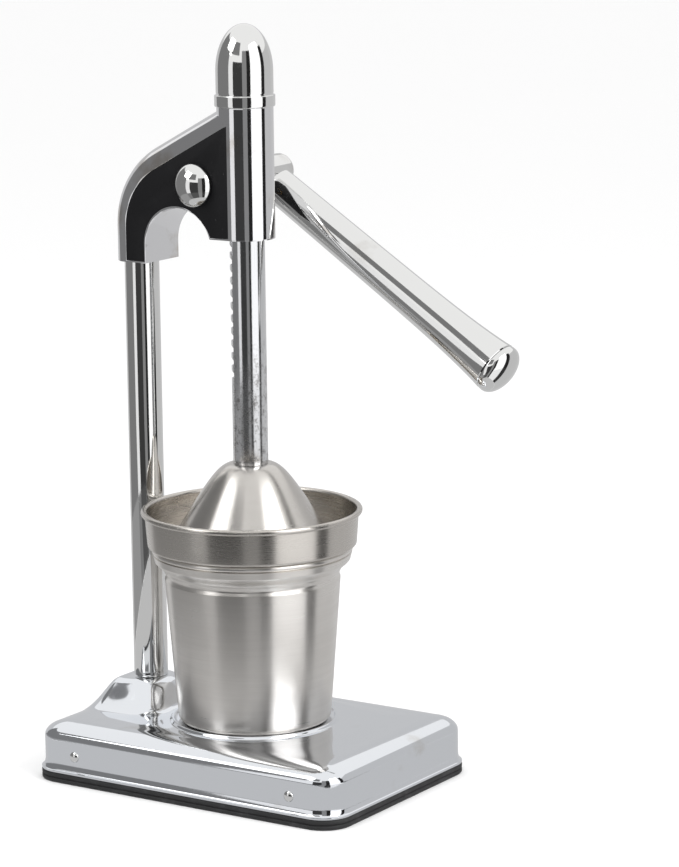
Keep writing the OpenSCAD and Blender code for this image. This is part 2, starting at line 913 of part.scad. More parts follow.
module cone_washer() {
    color(steel)
    translate([cup_x, 0, cone_top_z - cone_sheet * 1.4 - cone_washer_t])
        difference() {
            cylinder(r = cone_top_r - 1.2, h = cone_washer_t, $fn = round_fn);
            translate([0, 0, -1])
                cylinder(r = cone_screw_d / 2 + gap, h = cone_washer_t + 2, $fn = soft_fn);
        }
}

module cone_screw() {
    seat_z = cone_top_z - cone_sheet * 1.4 - cone_washer_t;
    color(steel)
    translate([cup_x, 0, seat_z])
        union() {
            translate([0, 0, -cone_screw_head_h])
                cylinder(d = cone_screw_d * 1.8, h = cone_screw_head_h, $fn = 6);
            translate([0, 0, -join])
                cylinder(d = cone_screw_d, h = cone_screw_l, $fn = soft_fn);
        }
}

// ---------- cup and strainer ----------

cup_floor_z = base_top_z + gap;
step_z = rim_z - band_h;
cup_top_z = step_z - gap;
cup_neck_z = cup_top_z - cup_shoulder_h;
bowl_inner_r = cup_mouth_r - 2 * bead_r - cup_sheet - gap;
bowl_floor_z = cup_neck_z + 3.6;
bowl_corner = 4;

// Outer line of the cup, moved inwards by inset, from foot to mouth
function cup_line(inset) = concat(
    [for (a = [0:15:75])
        [cup_foot_r - 2.5 + (2.5 - inset) * sin(a), cup_floor_z + 2.5 - (2.5 - inset) * cos(a)]],
    [[cup_foot_r - inset, cup_floor_z + 3],
     [cup_neck_r - inset - 0.3, cup_neck_z - 4],
     [cup_neck_r - inset - 0.9, cup_neck_z - 2.5],
     [cup_neck_r - inset - 0.5, cup_neck_z - 1]],
    [for (i = [0:8])
        let (t = i / 8)
            [cup_neck_r - inset + (cup_mouth_r - 1 - cup_neck_r) * smooth(t),
             cup_neck_z + (cup_shoulder_h / 2) * t]],
    [[cup_mouth_r - inset - 0.3, cup_top_z - 2 * bead_r]]);

module juice_cup() {
    bead_mid_r = cup_mouth_r - bead_r;
    color(brushed)
    translate([cup_x, 0, 0])
        union() {
            rotate_extrude($fn = round_fn)
                polygon(concat(
                    [[0, cup_floor_z]],
                    cup_line(0),
                    [[cup_mouth_r - 0.3, cup_top_z - bead_r],
                     [cup_mouth_r - 0.3 - cup_sheet, cup_top_z - bead_r]],
                    reversed(cup_line(cup_sheet)),
                    [[0, cup_floor_z + cup_sheet]]));
            rotate_extrude($fn = round_fn)
                translate([bead_mid_r, cup_top_z - bead_r])
                    circle(r = bead_r, $fn = 24);
        }
}

// Outer line of the strainer from the rim to the edge of its floor
function bowl_line(inset) = concat(
    [[rim_r - 2 * bead_r + 1.2 - inset, rim_z - bead_r],
     [rim_r - 3 - inset, step_z + 1.5]],
    [for (a = [15:15:75])
        [rim_r - 4.5 + (1.5 - inset) * cos(a), step_z + 1.5 - (1.5 - inset) * sin(a)]],
    [[rim_r - 4.5, step_z + inset], [bowl_inner_r - inset, step_z + inset],
     [bowl_inner_r - inset, bowl_floor_z + bowl_corner]],
    [for (a = [15:15:75])
        [bowl_inner_r - bowl_corner + (bowl_corner - inset) * cos(a),
         bowl_floor_z + bowl_corner - (bowl_corner - inset) * sin(a)]],
    [[bowl_inner_r - bowl_corner, bowl_floor_z + inset]]);

hole_rings = 3;
holes_per_ring = 20;

module strainer_bowl() {
    first_ring_r = reamer_r + 3.5;
    ring_step = (bowl_inner_r - bowl_corner - 1 - first_ring_r) / hole_rings;
    color(brushed)
    translate([cup_x, 0, 0])
        difference() {
            union() {
                rotate_extrude($fn = round_fn)
                    polygon(concat(
                        bowl_line(0),
                        [[0, bowl_floor_z], [0, bowl_floor_z + cup_sheet]],
                        reversed(bowl_line(cup_sheet))));
                rotate_extrude($fn = round_fn)
                    translate([rim_r - bead_r, rim_z - bead_r])
                        circle(r = bead_r, $fn = 24);
            }
            for (ring = [0:hole_rings - 1])
                for (k = [0:holes_per_ring - 1])
                    rotate([0, 0, (k + ring / 2) * 360 / holes_per_ring])
                        translate([first_ring_r + ring * ring_step, 0, bowl_floor_z - 1])
                            cylinder(d = juice_hole_d, h = cup_sheet + 2, $fn = 24);
        }
}

reamer_r = 24;
rib_count = 10;
rib_t = 1.8;
rib_out = 2.2;
reamer_wall = 2;

// Domed line of the reamer, t from 0 at the rim to 1 at the tip
function reamer_line(grow) = [
    for (i = [0:12])
        let (a = i * 90 / 12)
            [i == 12 ? 0 : (reamer_r - rib_out + grow) * pow(cos(a), 0.85),
             (reamer_h + grow) * pow(sin(a), 1.15)]
];

module reamer_cone() {
    rib_edge = reamer_line(rib_out);
    color(brushed)
    translate([cup_x, 0, bowl_floor_z + cup_sheet])
        difference() {
            union() {
                rotate_extrude($fn = round_fn)
                    polygon(concat([[0, 0]], reamer_line(0)));
                for (k = [0:rib_count / 2 - 1])
                    rotate([0, 0, k * 360 / rib_count])
                        plate_y(-rib_t / 2, rib_t / 2)
                            polygon(concat(
                                rib_edge,
                                reversed([for (p = rib_edge) if (p[0] > 0.01) [-p[0], p[1]]])));
            }
            rotate_extrude($fn = round_fn)
                polygon(concat([[0, -1], [reamer_r - rib_out - reamer_wall, -1]],
                               reamer_line(-reamer_wall)));
        }
}

base_shell();
base_floor_plate();
base_rivets();
rubber_mat();
column_tube();
column_plug();
column_bolt();
column_washer();
head_casting();
near_side_panel();
far_side_panel();
column_grub_screw();
top_cap();
near_axle_bush();
far_axle_bush();
axle();
pinion();
pinion_pin();
dome_nut();
dome_nut_washer();
lever_rod();
lever_grip();
grip_end_cap();
grip_root_collar();
rack_bar();
press_cone();
cone_washer();
cone_screw();
strainer_bowl();
reamer_cone();
juice_cup();
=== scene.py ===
"""Looks of the hand lever citrus press: chromed frame, spun steel cup, strainer and press cone.

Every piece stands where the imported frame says. Shapes are worked out in millimetres and turned
into metres when a mesh is made.
"""

import logging
import math
from collections.abc import Sequence
from dataclasses import dataclass, field
from enum import Enum
from typing import Any

import bmesh
import bpy
from mathutils import Matrix, Vector


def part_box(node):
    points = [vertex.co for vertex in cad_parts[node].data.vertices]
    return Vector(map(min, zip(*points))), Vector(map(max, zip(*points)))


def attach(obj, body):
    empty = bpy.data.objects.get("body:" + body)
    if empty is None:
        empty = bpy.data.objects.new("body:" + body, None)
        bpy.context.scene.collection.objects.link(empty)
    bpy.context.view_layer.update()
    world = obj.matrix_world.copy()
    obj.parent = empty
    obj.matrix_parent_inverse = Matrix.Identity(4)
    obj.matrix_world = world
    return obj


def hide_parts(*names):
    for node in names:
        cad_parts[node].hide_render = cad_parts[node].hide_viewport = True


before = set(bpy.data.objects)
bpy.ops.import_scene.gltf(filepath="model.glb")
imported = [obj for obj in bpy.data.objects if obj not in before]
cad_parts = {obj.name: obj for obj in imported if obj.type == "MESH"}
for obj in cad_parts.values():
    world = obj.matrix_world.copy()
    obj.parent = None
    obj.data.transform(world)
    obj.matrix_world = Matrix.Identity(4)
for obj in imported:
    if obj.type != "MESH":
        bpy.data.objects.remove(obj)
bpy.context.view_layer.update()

MM = 0.001
LOG = logging.getLogger("citrus_press")

Point = tuple[float, float]
Colour = tuple[float, float, float]


class Part(str, Enum):
    """The rigid bodies of the frame."""

    FRAME = "frame"
    LEVER = "lever"
    PRESS = "press"
    CUP = "cup"
    STRAINER = "strainer"


class Slot(str, Enum):
    """Names of the material slots."""

    CHROME = "chrome"
    RUBBER = "black_rubber"
    PANEL = "black_panel"
    BRUSHED = "brushed"
    BRIGHT = "bright_steel"
    PLAIN = "plain_steel"


# ---------------------------------------------------------------- shader expressions


class Value:
    """A shader socket that can be used in Python expressions."""

    def __init__(self, graph: "Graph", socket: bpy.types.NodeSocket) -> None:
        """Wraps one output socket of a graph."""
        self.graph = graph
        self.socket = socket

    def _maths(self, operation: str, *terms: Any) -> "Value":
        """Adds a Math node.

        Args:
            operation: the node's operation.
            terms: its inputs, as values or numbers.

        Returns:
            The node's result.
        """
        inputs = dict(enumerate(terms))
        return self.graph.node("ShaderNodeMath", {"operation": operation}, inputs)

    def __add__(self, other: Any) -> "Value":
        """Returns self + other."""
        return self._maths("ADD", self, other)

    __radd__ = __add__

    def __sub__(self, other: Any) -> "Value":
        """Returns self - other."""
        return self._maths("SUBTRACT", self, other)

    def __rsub__(self, other: Any) -> "Value":
        """Returns other - self."""
        return self._maths("SUBTRACT", other, self)

    def __mul__(self, other: Any) -> "Value":
        """Returns self * other."""
        return self._maths("MULTIPLY", self, other)

    __rmul__ = __mul__

    def __truediv__(self, other: Any) -> "Value":
        """Returns self / other."""
        return self._maths("DIVIDE", self, other)

    def __rtruediv__(self, other: Any) -> "Value":
        """Returns other / self."""
        return self._maths("DIVIDE", other, self)

    def __pow__(self, other: Any) -> "Value":
        """Returns self to a power."""
        return self._maths("POWER", self, other)

    def root(self) -> "Value":
        """Returns the square root."""
        return self._maths("SQRT", self)

    def angle_of(self, across: "Value") -> "Value":
        """Returns the angle whose tangent is self over across."""
        return self._maths("ARCTAN2", self, across)

    def step(self, low: float, high: float) -> "Value":
        """Runs smoothly from 0 to 1 between two limits.

        Args:
            low: where the result is 0.
            high: where the result is 1.

        Returns:
            The smooth step.
        """
        settings = {"interpolation_type": "SMOOTHSTEP"}
        inputs = {"Value": self, "From Min": low, "From Max": high}
        return self.graph.node("ShaderNodeMapRange", settings, inputs)


class Graph:
    """A material's node tree around one Principled shader."""

    def __init__(self, name: str) -> None:
        """Makes an empty material with a Principled shader."""
        self.material = bpy.data.materials.new(name)
        self.material.use_nodes = True
        self.tree = self.material.node_tree
        self.tree.nodes.clear()
        output = self.tree.nodes.new("ShaderNodeOutputMaterial")
        self.shader = self.tree.nodes.new("ShaderNodeBsdfPrincipled")
        self.tree.links.new(self.shader.outputs["BSDF"], output.inputs["Surface"])

    def node(self, kind: str, settings: dict[str, Any], inputs: dict[Any, Any], out: Any = 0) -> Value:
        """Adds any node.

        Args:
            kind: the node's type.
            settings: its settings; "stops" sets a ramp's places and colours.
            inputs: socket name or number to a value, a number or a colour.
            out: the output socket's name or number.

        Returns:
            The chosen output.
        """
        made = self.tree.nodes.new(kind)
        for key, setting in settings.items():
            if key == "stops":
                self._fill_ramp(made.color_ramp, setting)
            else:
                setattr(made, key, setting)
        for key, entry in inputs.items():
            self.feed(made.inputs[key], entry)
        return Value(self, made.outputs[out])

    def _fill_ramp(self, ramp: bpy.types.ColorRamp, stops: Sequence[tuple[float, Colour]]) -> None:
        """Gives a colour ramp its stops."""
        while len(ramp.elements) < len(stops):
            ramp.elements.new(0.5)
        for element, (place, colour) in zip(ramp.elements, stops):
            element.position = place
            element.color = (*colour, 1.0)

    def feed(self, socket: bpy.types.NodeSocket, entry: Any) -> None:
        """Links a value to a socket, or sets the socket to a number or colour."""
        if isinstance(entry, Value):
            self.tree.links.new(entry.socket, socket)
        elif isinstance(entry, tuple) and len(entry) == 3 and socket.type == "RGBA":
            socket.default_value = (*entry, 1.0)
        else:
            socket.default_value = entry

    def place(self) -> Value:
        """Returns the point's place in the piece's own frame, in metres."""
        return self.node("ShaderNodeTexCoord", {}, {}, "Object")

    def split(self, vector: Value) -> tuple[Value, Value, Value]:
        """Returns the three parts of a vector."""
        first = self.node("ShaderNodeSeparateXYZ", {}, {0: vector})
        outputs = first.socket.node.outputs
        return first, Value(self, outputs[1]), Value(self, outputs[2])

    def join(self, x: Any, y: Any, z: Any) -> Value:
        """Returns a vector made of three parts."""
        return self.node("ShaderNodeCombineXYZ", {}, {0: x, 1: y, 2: z})

    def noise(self, vector: Value, scale: float, detail: float = 3.0, rough: float = 0.55) -> Value:
        """Adds a noise texture.

        Args:
            vector: where it is read.
            scale: how fine it is.
            detail: how many layers it has.
            rough: how strong the finer layers are.

        Returns:
            A value about 0.5.
        """
        inputs = {"Vector": vector, "Scale": scale, "Detail": detail, "Roughness": rough}
        return self.node("ShaderNodeTexNoise", {}, inputs)

    def blend(self, factor: Any, first: Any, second: Any) -> Value:
        """Mixes two colours by a factor from 0 to 1."""
        settings = {"data_type": "RGBA", "clamp_factor": True}
        return self.node("ShaderNodeMix", settings, {0: factor, 6: first, 7: second}, 2)

    def relief(self, height: Value, depth_mm: float, strength: float = 1.0) -> Value:
        """Turns a height into a normal, for relief of a given depth."""
        inputs = {"Height": height, "Strength": strength, "Distance": depth_mm * MM}
        return self.node("ShaderNodeBump", {}, inputs)

    def finish(self, **sockets: Any) -> bpy.types.Material:
        """Feeds the shader's sockets, named with _ for a space, and returns the material."""
        for name, entry in sockets.items():
            self.feed(self.shader.inputs[name.replace("_", " ")], entry)
        return self.material


# ---------------------------------------------------------------- finishes


@dataclass(frozen=True)
class Finish:
    """A surface finish, made into a material once and then shared."""

    name: str

    def material(self) -> bpy.types.Material:
        """Returns the finish's material, making it the first time."""
        found = bpy.data.materials.get(self.name)
        return found if found else self.paint(Graph(self.name))

    def paint(self, graph: Graph) -> bpy.types.Material:
        """Builds the material's nodes."""
        raise NotImplementedError


@dataclass(frozen=True)
class Chrome(Finish):
    """Polished chrome plate with faint smears, dust and a little waviness."""

    tone: Colour = (0.80, 0.80, 0.79)
    stain: Colour = (0.62, 0.60, 0.57)
    gloss: float = 0.055
    smear: float = 0.09
    wave_mm: float = 0.05
    stain_above: float = 0.62

    def paint(self, graph: Graph) -> bpy.types.Material:
        """Builds the plate's colour, smears and waviness."""
        place = graph.place()
        cloud = graph.noise(place, 38.0, 4.0)
        fine = graph.noise(place, 900.0, 2.0)
        smears = graph.noise(place, 120.0, 5.0, 0.7).step(0.52, 0.75)
        stained = cloud.step(self.stain_above, self.stain_above + 0.16)
        colour = graph.blend(stained * 0.55, self.tone, self.stain)
        pits = fine.step(0.70, 0.78)
        colour = graph.blend(pits * 0.25, colour, self.stain)
        rough = self.gloss + smears * self.smear + stained * 0.05
        waves = graph.noise(place, 26.0, 1.5, 0.4)
        return graph.finish(
            Base_Color=colour,
            Metallic=1.0,
            Roughness=rough,
            Normal=graph.relief(waves, self.wave_mm, 0.5),
        )


@dataclass(frozen=True)
class SpunSteel(Finish):
    """Stainless steel spun on a lathe, with fine rings round its axis."""

    axis_x: float = 0.0
    tone: Colour = (0.80, 0.775, 0.74)
    dark: Colour = (0.58, 0.555, 0.52)
    gloss: float = 0.27
    spread: float = 0.75
    line_scale: float = 2400.0
    line_mm: float = 0.004

    def paint(self, graph: Graph) -> bpy.types.Material:
        """Builds rings that follow the radius and the height."""
        x, y, z = graph.split(graph.place())
        across = x - self.axis_x * MM
        radius = (across * across + y * y).root()
        turn = y.angle_of(across)
        rings = graph.noise(graph.join(radius, z, turn * 0.0004), self.line_scale, 2.0, 0.6)
        broad = graph.noise(graph.join(radius, z, turn * 0.003), 300.0, 3.0)
        cloud = graph.noise(graph.place(), 24.0, 3.0)
        patch_mask = graph.noise(graph.place(), 140.0, 4.0, 0.7).step(0.56, 0.8)
        shade = (broad * 0.3 + cloud * 0.7).step(0.35, 0.68)
        colour = graph.blend((1.0 - shade) * 0.35, self.tone, self.dark)
        colour = graph.blend(rings.step(0.55, 0.8) * 0.22, colour, self.dark)
        rough = self.gloss + rings * 0.08 + patch_mask * 0.05 - shade * 0.03
        return graph.finish(
            Base_Color=colour,
            Metallic=1.0,
            Roughness=rough,
            Anisotropic=self.spread,
            Anisotropic_Rotation=0.25,
            Normal=graph.relief(rings, self.line_mm, 0.35),
        )


@dataclass(frozen=True)
class BarSteel(Finish):
    """A bright drawn bar, with darker, rougher patches low down."""

    tone: Colour = (0.74, 0.745, 0.755)
    dark: Colour = (0.20, 0.19, 0.18)
    darkening_starts_mm: float = 235.0
    darkening_full_mm: float = 190.0
    gloss: float = 0.09

    def paint(self, graph: Graph) -> bpy.types.Material:
        """Builds draw lines along the bar and darker, rougher patches and specks towards the lower end."""
        x, y, z = graph.split(graph.place())
        # Darker patches and specks towards the lower end of the bar: full below the lower height, gone above
        # the upper one; the patches are rougher too.
        low = 1.0 - z.step(self.darkening_full_mm * MM, self.darkening_starts_mm * MM)
        patches = graph.noise(graph.join(x * 1.6, y * 1.6, z), 160.0, 6.0, 0.72)
        specks = graph.noise(graph.place(), 620.0, 3.0, 0.7).step(0.55, 0.68)
        draw = graph.noise(graph.join(x, y, z * 0.02), 900.0, 3.0)
        patch_mask = low * patches.step(0.50, 0.66)
        colour = graph.blend(patch_mask * 0.75, self.tone, self.dark)
        colour = graph.blend(low * specks * 0.6, colour, self.dark)
        colour = graph.blend(draw.step(0.6, 0.8) * 0.18, colour, self.dark)
        rough = self.gloss + patch_mask * 0.22 + low * 0.06 + draw * 0.05
        relief = draw * 0.4 + patches * low * 0.6
        return graph.finish(
            Base_Color=colour,
            Metallic=1.0,
            Roughness=rough,
            Normal=graph.relief(relief, 0.03, 0.6),
        )


@dataclass(frozen=True)
class PlainSteel(Finish):
    """Machined or cast steel, greyer and duller than the plate."""

    tone: Colour = (0.55, 0.55, 0.55)
    dark: Colour = (0.28, 0.27, 0.26)
    gloss: float = 0.30
    grain: float = 480.0

    def paint(self, graph: Graph) -> bpy.types.Material:
        """Builds turning marks and oily patches."""
        place = graph.place()
        marks = graph.noise(place, self.grain, 4.0, 0.65)
        oil = graph.noise(place, 60.0, 3.0).step(0.5, 0.7)
        colour = graph.blend(oil * 0.5 + marks * 0.2, self.tone, self.dark)
        return graph.finish(
            Base_Color=colour,
            Metallic=1.0,
            Roughness=self.gloss + marks * 0.15 - oil * 0.08,
            Normal=graph.relief(marks, 0.03, 0.6),
        )


@dataclass(frozen=True)
class BlackPaint(Finish):
    """Satin black paint, chipped where the flat meets the barrel."""

    tone: Colour = (0.006, 0.006, 0.007)
    chip: Colour = (0.55, 0.55, 0.56)
    edge_x: float = -8.0

    def paint(self, graph: Graph) -> bpy.types.Material:
        """Builds the paint's fine grain, rubs and chips."""
        place = graph.place()
        x, _y, _z = graph.split(place)
        grain = graph.noise(place, 1500.0, 3.0)
        rubs = graph.noise(place, 75.0, 4.0, 0.65).step(0.5, 0.8)
        near = x.step((self.edge_x - 7.0) * MM, self.edge_x * MM)
        chips = graph.noise(place, 420.0, 5.0, 0.75).step(0.685, 0.71) * near
        colour = graph.blend(rubs * 0.2, self.tone, (0.02, 0.02, 0.022))
        colour = graph.blend(chips, colour, self.chip)
        return graph.finish(
            Base_Color=colour,
            Metallic=chips * 0.9,
            Specular_IOR_Level=0.22,
            Roughness=0.42 + grain * 0.10 - rubs * 0.08,
            Normal=graph.relief(grain - chips, 0.02, 0.5),
        )


@dataclass(frozen=True)
class Rubber(Finish):
    """Moulded black rubber with a dusty, slightly uneven skin."""

    tone: Colour = (0.012, 0.012, 0.013)
    dust: Colour = (0.075, 0.075, 0.078)

    def paint(self, graph: Graph) -> bpy.types.Material:
        """Builds the skin's grain and dust."""
        place = graph.place()
        grain = graph.noise(place, 1300.0, 4.0, 0.7)
        dust = graph.noise(place, 90.0, 5.0, 0.7).step(0.48, 0.8)
        colour = graph.blend(dust * 0.6 + grain * 0.1, self.tone, self.dust)
        return graph.finish(
            Base_Color=colour,
            Roughness=0.62 + dust * 0.2,
            Normal=graph.relief(grain, 0.05, 0.7),
        )


@dataclass(frozen=True)
class Bronze(Finish):
    """A turned bronze bearing."""

    tone: Colour = (0.62, 0.42, 0.20)
    dark: Colour = (0.30, 0.19, 0.09)

    def paint(self, graph: Graph) -> bpy.types.Material:
        """Builds turning marks and darkened oil."""
        place = graph.place()
        marks = graph.noise(place, 700.0, 3.0)
        oil = graph.noise(place, 120.0, 3.0).step(0.45, 0.7)
        return graph.finish(
            Base_Color=graph.blend(oil * 0.6, self.tone, self.dark),
            Metallic=1.0,
            Roughness=0.28 + marks * 0.12,
            Normal=graph.relief(marks, 0.02, 0.5),
        )


@dataclass(frozen=True)
class PaleFloor(Finish):
    """The plain pale table."""

    tone: Colour = (0.97, 0.97, 0.97)

    def paint(self, graph: Graph) -> bpy.types.Material:
        """Builds a matt, nearly even colour."""
        cloud = graph.noise(graph.place(), 3.0, 2.0)
        colour = graph.blend(cloud * 0.3, self.tone, (0.955, 0.955, 0.955))
        return graph.finish(Base_Color=colour, Roughness=0.9, Specular_IOR_Level=0.1)


@dataclass(frozen=True)
class Glow(Finish):
    """A studio card that the bright metal mirrors."""

    level: float = 1.0

    def paint(self, graph: Graph) -> bpy.types.Material:
        """Builds an even glow over black."""
        return graph.finish(
            Base_Color=(0.0, 0.0, 0.0),
            Roughness=1.0,
            Specular_IOR_Level=0.0,
            Emission_Color=(self.level, self.level, self.level * 1.01),
            Emission_Strength=1.0,
        )


# ---------------------------------------------------------------- shapes


def smooth(t: float) -> float:
    """Returns a smooth step of t, held to 0 and 1."""
    t = min(1.0, max(0.0, t))
    return t * t * (3.0 - 2.0 * t)


def mix(a: float, b: float, t: float) -> float:
    """Returns the value a part t of the way from a to b."""
    return a + (b - a) * t


def filleted(points: Sequence[Point], radius: float, steps: int = 5) -> list[Point]:
    """Rounds the inner corners of an open line.

    Args:
        points: the line's corners.
        radius: the largest rounding; a short side gets a smaller one.
        steps: points on each rounding.

    Returns:
        The rounded line.
    """
    line = [points[0]]
    for before, corner, after in zip(points, points[1:], points[2:]):
        here = Vector(corner)
        back = Vector(before) - here
        on = Vector(after) - here
        if back.length < 1e-6 or on.length < 1e-6:
            continue
        bend = math.pi - back.angle(on)
        if bend < math.radians(6.0):
            line.append(corner)
            continue
        cut = min(radius * math.tan(bend / 2), back.length * 0.48, on.length * 0.48)
        start = here + back.normalized() * cut
        end = here + on.normalized() * cut
        for i in range(steps + 1):
            t = i / steps
            p = start * (1 - t) ** 2 + here * 2 * t * (1 - t) + end * t * t
            line.append((p.x, p.y))
    line.append(points[-1])
    return line


def arc(centre: Point, radius: float, start: float, end: float, steps: int) -> list[Point]:
    """Returns points on an arc, with its angles in degrees."""
    turns = [math.radians(mix(start, end, i / steps)) for i in range(steps + 1)]
    return [(centre[0] + radius * math.cos(a), centre[1] + radius * math.sin(a)) for a in turns]


def upright(x: float, y: float = 0.0) -> Matrix:
    """Returns a frame whose axis stands upright at x, y in mm."""
    return Matrix.Translation(Vector((x, y, 0.0)))


def pointing(origin: Vector, axis: Vector) -> Matrix:
    """Returns a frame at origin, in mm, whose Z runs along axis."""
    turn = axis.normalized().to_track_quat("Z", "Y").to_matrix().to_4x4()
    return Matrix.Translation(origin) @ turn


class Workshop:
    """Makes meshes and books each finished piece into the frame."""

    @staticmethod
    def solid(
        name: str, points: Sequence[Vector], faces: Sequence[Sequence[int]], crease: float
    ) -> bpy.types.Object:
        """Makes an object from points in mm.

        Args:
            name: the object's name.
            points: its vertices.
            faces: its faces, as vertex numbers.
            crease: the angle in degrees above which an edge stays sharp.

        Returns:
            The new object.
        """
        mesh = bpy.data.meshes.new(name)
        mesh.from_pydata([p * MM for p in points], [], faces)
        mesh.validate()
        made = bpy.data.objects.new(name, mesh)
        bpy.context.scene.collection.objects.link(made)
        Workshop.soften(mesh, crease)
        return made

    @staticmethod
    def soften(mesh: bpy.types.Mesh, crease: float, weld_mm: float = 0.0) -> None:
        """Smooths the faces and keeps the edges above the crease angle sharp."""
        shape = bmesh.new()
        shape.from_mesh(mesh)
        if weld_mm > 0:
            bmesh.ops.remove_doubles(shape, verts=shape.verts, dist=weld_mm * MM)
            bmesh.ops.dissolve_degenerate(shape, edges=shape.edges, dist=weld_mm * MM)
        bmesh.ops.recalc_face_normals(shape, faces=shape.faces)
        for face in shape.faces:
            face.smooth = True
        limit = math.radians(crease)
        for edge in shape.edges:
            edge.smooth = len(edge.link_faces) == 2 and edge.calc_face_angle(0.0) < limit
        shape.to_mesh(mesh)
        shape.free()

    @staticmethod
    def loft(
        name: str, rings: Sequence[Sequence[Vector]], crease: float = 35.0, caps: bool = True
    ) -> bpy.types.Object:
        """Skins a row of rings that have the same number of points.

        Args:
            name: the object's name.
            rings: closed rings, from the first to the last.
            crease: the angle above which an edge stays sharp.
            caps: whether the first and the last ring are closed.

        Returns:
            The new object.
        """
        count = len(rings[0])
        points = [p for ring in rings for p in ring]
        faces: list[Sequence[int]] = []
        for row in range(len(rings) - 1):
            for i in range(count):
                j = (i + 1) % count
                low, high = row * count, (row + 1) * count
                faces.append((low + i, low + j, high + j, high + i))
        if caps:
            faces.append(tuple(reversed(range(count))))
            faces.append(tuple(range((len(rings) - 1) * count, len(points))))
        return Workshop.solid(name, points, faces, crease)

    @staticmethod
    def lathe(
        name: str,
        line: Sequence[Point],
        seat: Matrix,
        closed: bool = False,
        segments: int = 144,
        crease: float = 35.0,
    ) -> bpy.types.Object:
        """Turns a line of radius and height round an axis.

        Args:
            name: the object's name.
            line: the line, in mm.
            seat: the frame whose Z is the axis.
            closed: whether the line's end joins its start, for a tube.
            segments: steps round the axis.
            crease: the angle above which an edge stays sharp.

        Returns:
            The new object.
        """
        points: list[Vector] = []
        rows: list[list[int]] = []
        for radius, height in line:
            if radius < 1e-6:
                points.append(seat @ Vector((0.0, 0.0, height)))
                rows.append([len(points) - 1] * segments)
                continue
            start = len(points)
            for i in range(segments):
                a = 2 * math.pi * i / segments
                points.append(seat @ Vector((radius * math.cos(a), radius * math.sin(a), height)))
            rows.append(list(range(start, start + segments)))
        if closed:
            rows.append(rows[0])
        faces: list[Sequence[int]] = []
        for low, high in zip(rows, rows[1:]):
            for i in range(segments):
                j = (i + 1) % segments
                corners = list(dict.fromkeys((low[i], low[j], high[j], high[i])))
                if len(corners) > 2:
                    faces.append(corners)
        return Workshop.solid(name, points, faces, crease)

    @staticmethod
    def refined(name: str, node: str, bevel_mm: float = 0.0, crease: float = 28.0) -> bpy.types.Object:
        """Copies a CAD node's mesh, welds it, smooths it and breaks its edges.

        Args:
            name: the new object's name.
            node: the CAD node.
            bevel_mm: the width of the broken edges, or 0 for none.
            crease: the angle above which an edge stays sharp.

        Returns:
            The new object.
        """
        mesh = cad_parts[node].data.copy()
        mesh.name = name
        mesh.materials.clear()
        Workshop.soften(mesh, crease, 0.002)
        made = bpy.data.objects.new(name, mesh)
        bpy.context.scene.collection.objects.link(made)
        if bevel_mm > 0:
            Workshop.flatten(mesh, crease)
            bevel = made.modifiers.new("broken_edge", "BEVEL")
            bevel.width = bevel_mm * MM
            bevel.segments = 2
            bevel.limit_method = "ANGLE"
            bevel.angle_limit = math.radians(crease)
            bevel.use_clamp_overlap = True
            bevel.harden_normals = False
            Workshop.apply(made)
            Workshop.soften(made.data, 40.0)
        return made

    @staticmethod
    def flatten(mesh: bpy.types.Mesh, crease: float) -> None:
        """Joins coplanar triangles, so that edges are broken evenly."""
        shape = bmesh.new()
        shape.from_mesh(mesh)
        bmesh.ops.dissolve_limit(
            shape, angle_limit=math.radians(0.4), verts=shape.verts, edges=shape.edges
        )
        shape.to_mesh(mesh)
        shape.free()
        Workshop.soften(mesh, crease)

    @staticmethod
    def apply(made: bpy.types.Object) -> None:
        """Turns an object's modifiers into its mesh."""
        graph = bpy.context.evaluated_depsgraph_get()
        mesh = bpy.data.meshes.new_from_object(made.evaluated_get(graph))
        made.modifiers.clear()
        made.data = mesh

    @staticmethod
    def book(
        made: bpy.types.Object,
        finish: Finish,
        part: Part,
        slot: Slot,
        nodes: Sequence[str],
    ) -> bpy.types.Object:
        """Dresses a piece and ties it to its body.

        Args:
            made: the piece.
            finish: its finish.
            part: the body it rides on.
            slot: not used.
            nodes: the CAD nodes that it stands for.

        Returns:
            The piece.
        """
        made.data.materials.clear()
        made.data.materials.append(finish.material())
        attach(made, part.value)
        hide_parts(*nodes)
        LOG.info("%s stands for %s on %s", made.name, ", ".join(nodes), part.value)
        return made

    @staticmethod
    def dress(node: str, finish: Finish) -> None:
        """Gives a carried-over CAD node its finish."""
        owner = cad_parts[node]
        for place in owner.material_slots:
            place.material = finish.material()
        LOG.info("%s keeps its shape, finish %s", node, finish.name)


def low_mm(node: str) -> Vector:
    """Returns the lowest corner of a CAD node, in mm."""
    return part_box(node)[0] / MM


def high_mm(node: str) -> Vector:
    """Returns the highest corner of a CAD node, in mm."""
    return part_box(node)[1] / MM


def middle_mm(node: str) -> Vector:
    """Returns the middle of a CAD node's box, in mm."""
    return (low_mm(node) + high_mm(node)) / 2


# ---------------------------------------------------------------- finishes of this press

CUP_X = middle_mm("juice_cup").x
PLATE = Chrome("chrome_plate")
BASE_PLATE = Chrome("chrome_base", tone=(0.79, 0.81, 0.84), gloss=0.06, smear=0.07, wave_mm=0.12)
HEAD_PLATE = Chrome("chrome_head", tone=(0.80, 0.80, 0.81), stain=(0.50, 0.44, 0.37), stain_above=0.55)
BAR = BarSteel("bar_steel")
CUP_STEEL = SpunSteel("spun_cup", axis_x=CUP_X)
BOWL_STEEL = SpunSteel("spun_strainer", axis_x=CUP_X, tone=(0.61, 0.58, 0.54), gloss=0.25)
CONE_STEEL = SpunSteel("spun_cone", axis_x=CUP_X, tone=(0.64, 0.615, 0.585), gloss=0.22)
MACHINED = PlainSteel("machined_steel")
BRIGHT = PlainSteel("bright_turned", tone=(0.72, 0.72, 0.73), dark=(0.45, 0.44, 0.43), gloss=0.16)
ZINC = PlainSteel("zinc_plate", tone=(0.60, 0.61, 0.63), dark=(0.40, 0.40, 0.41), gloss=0.34)
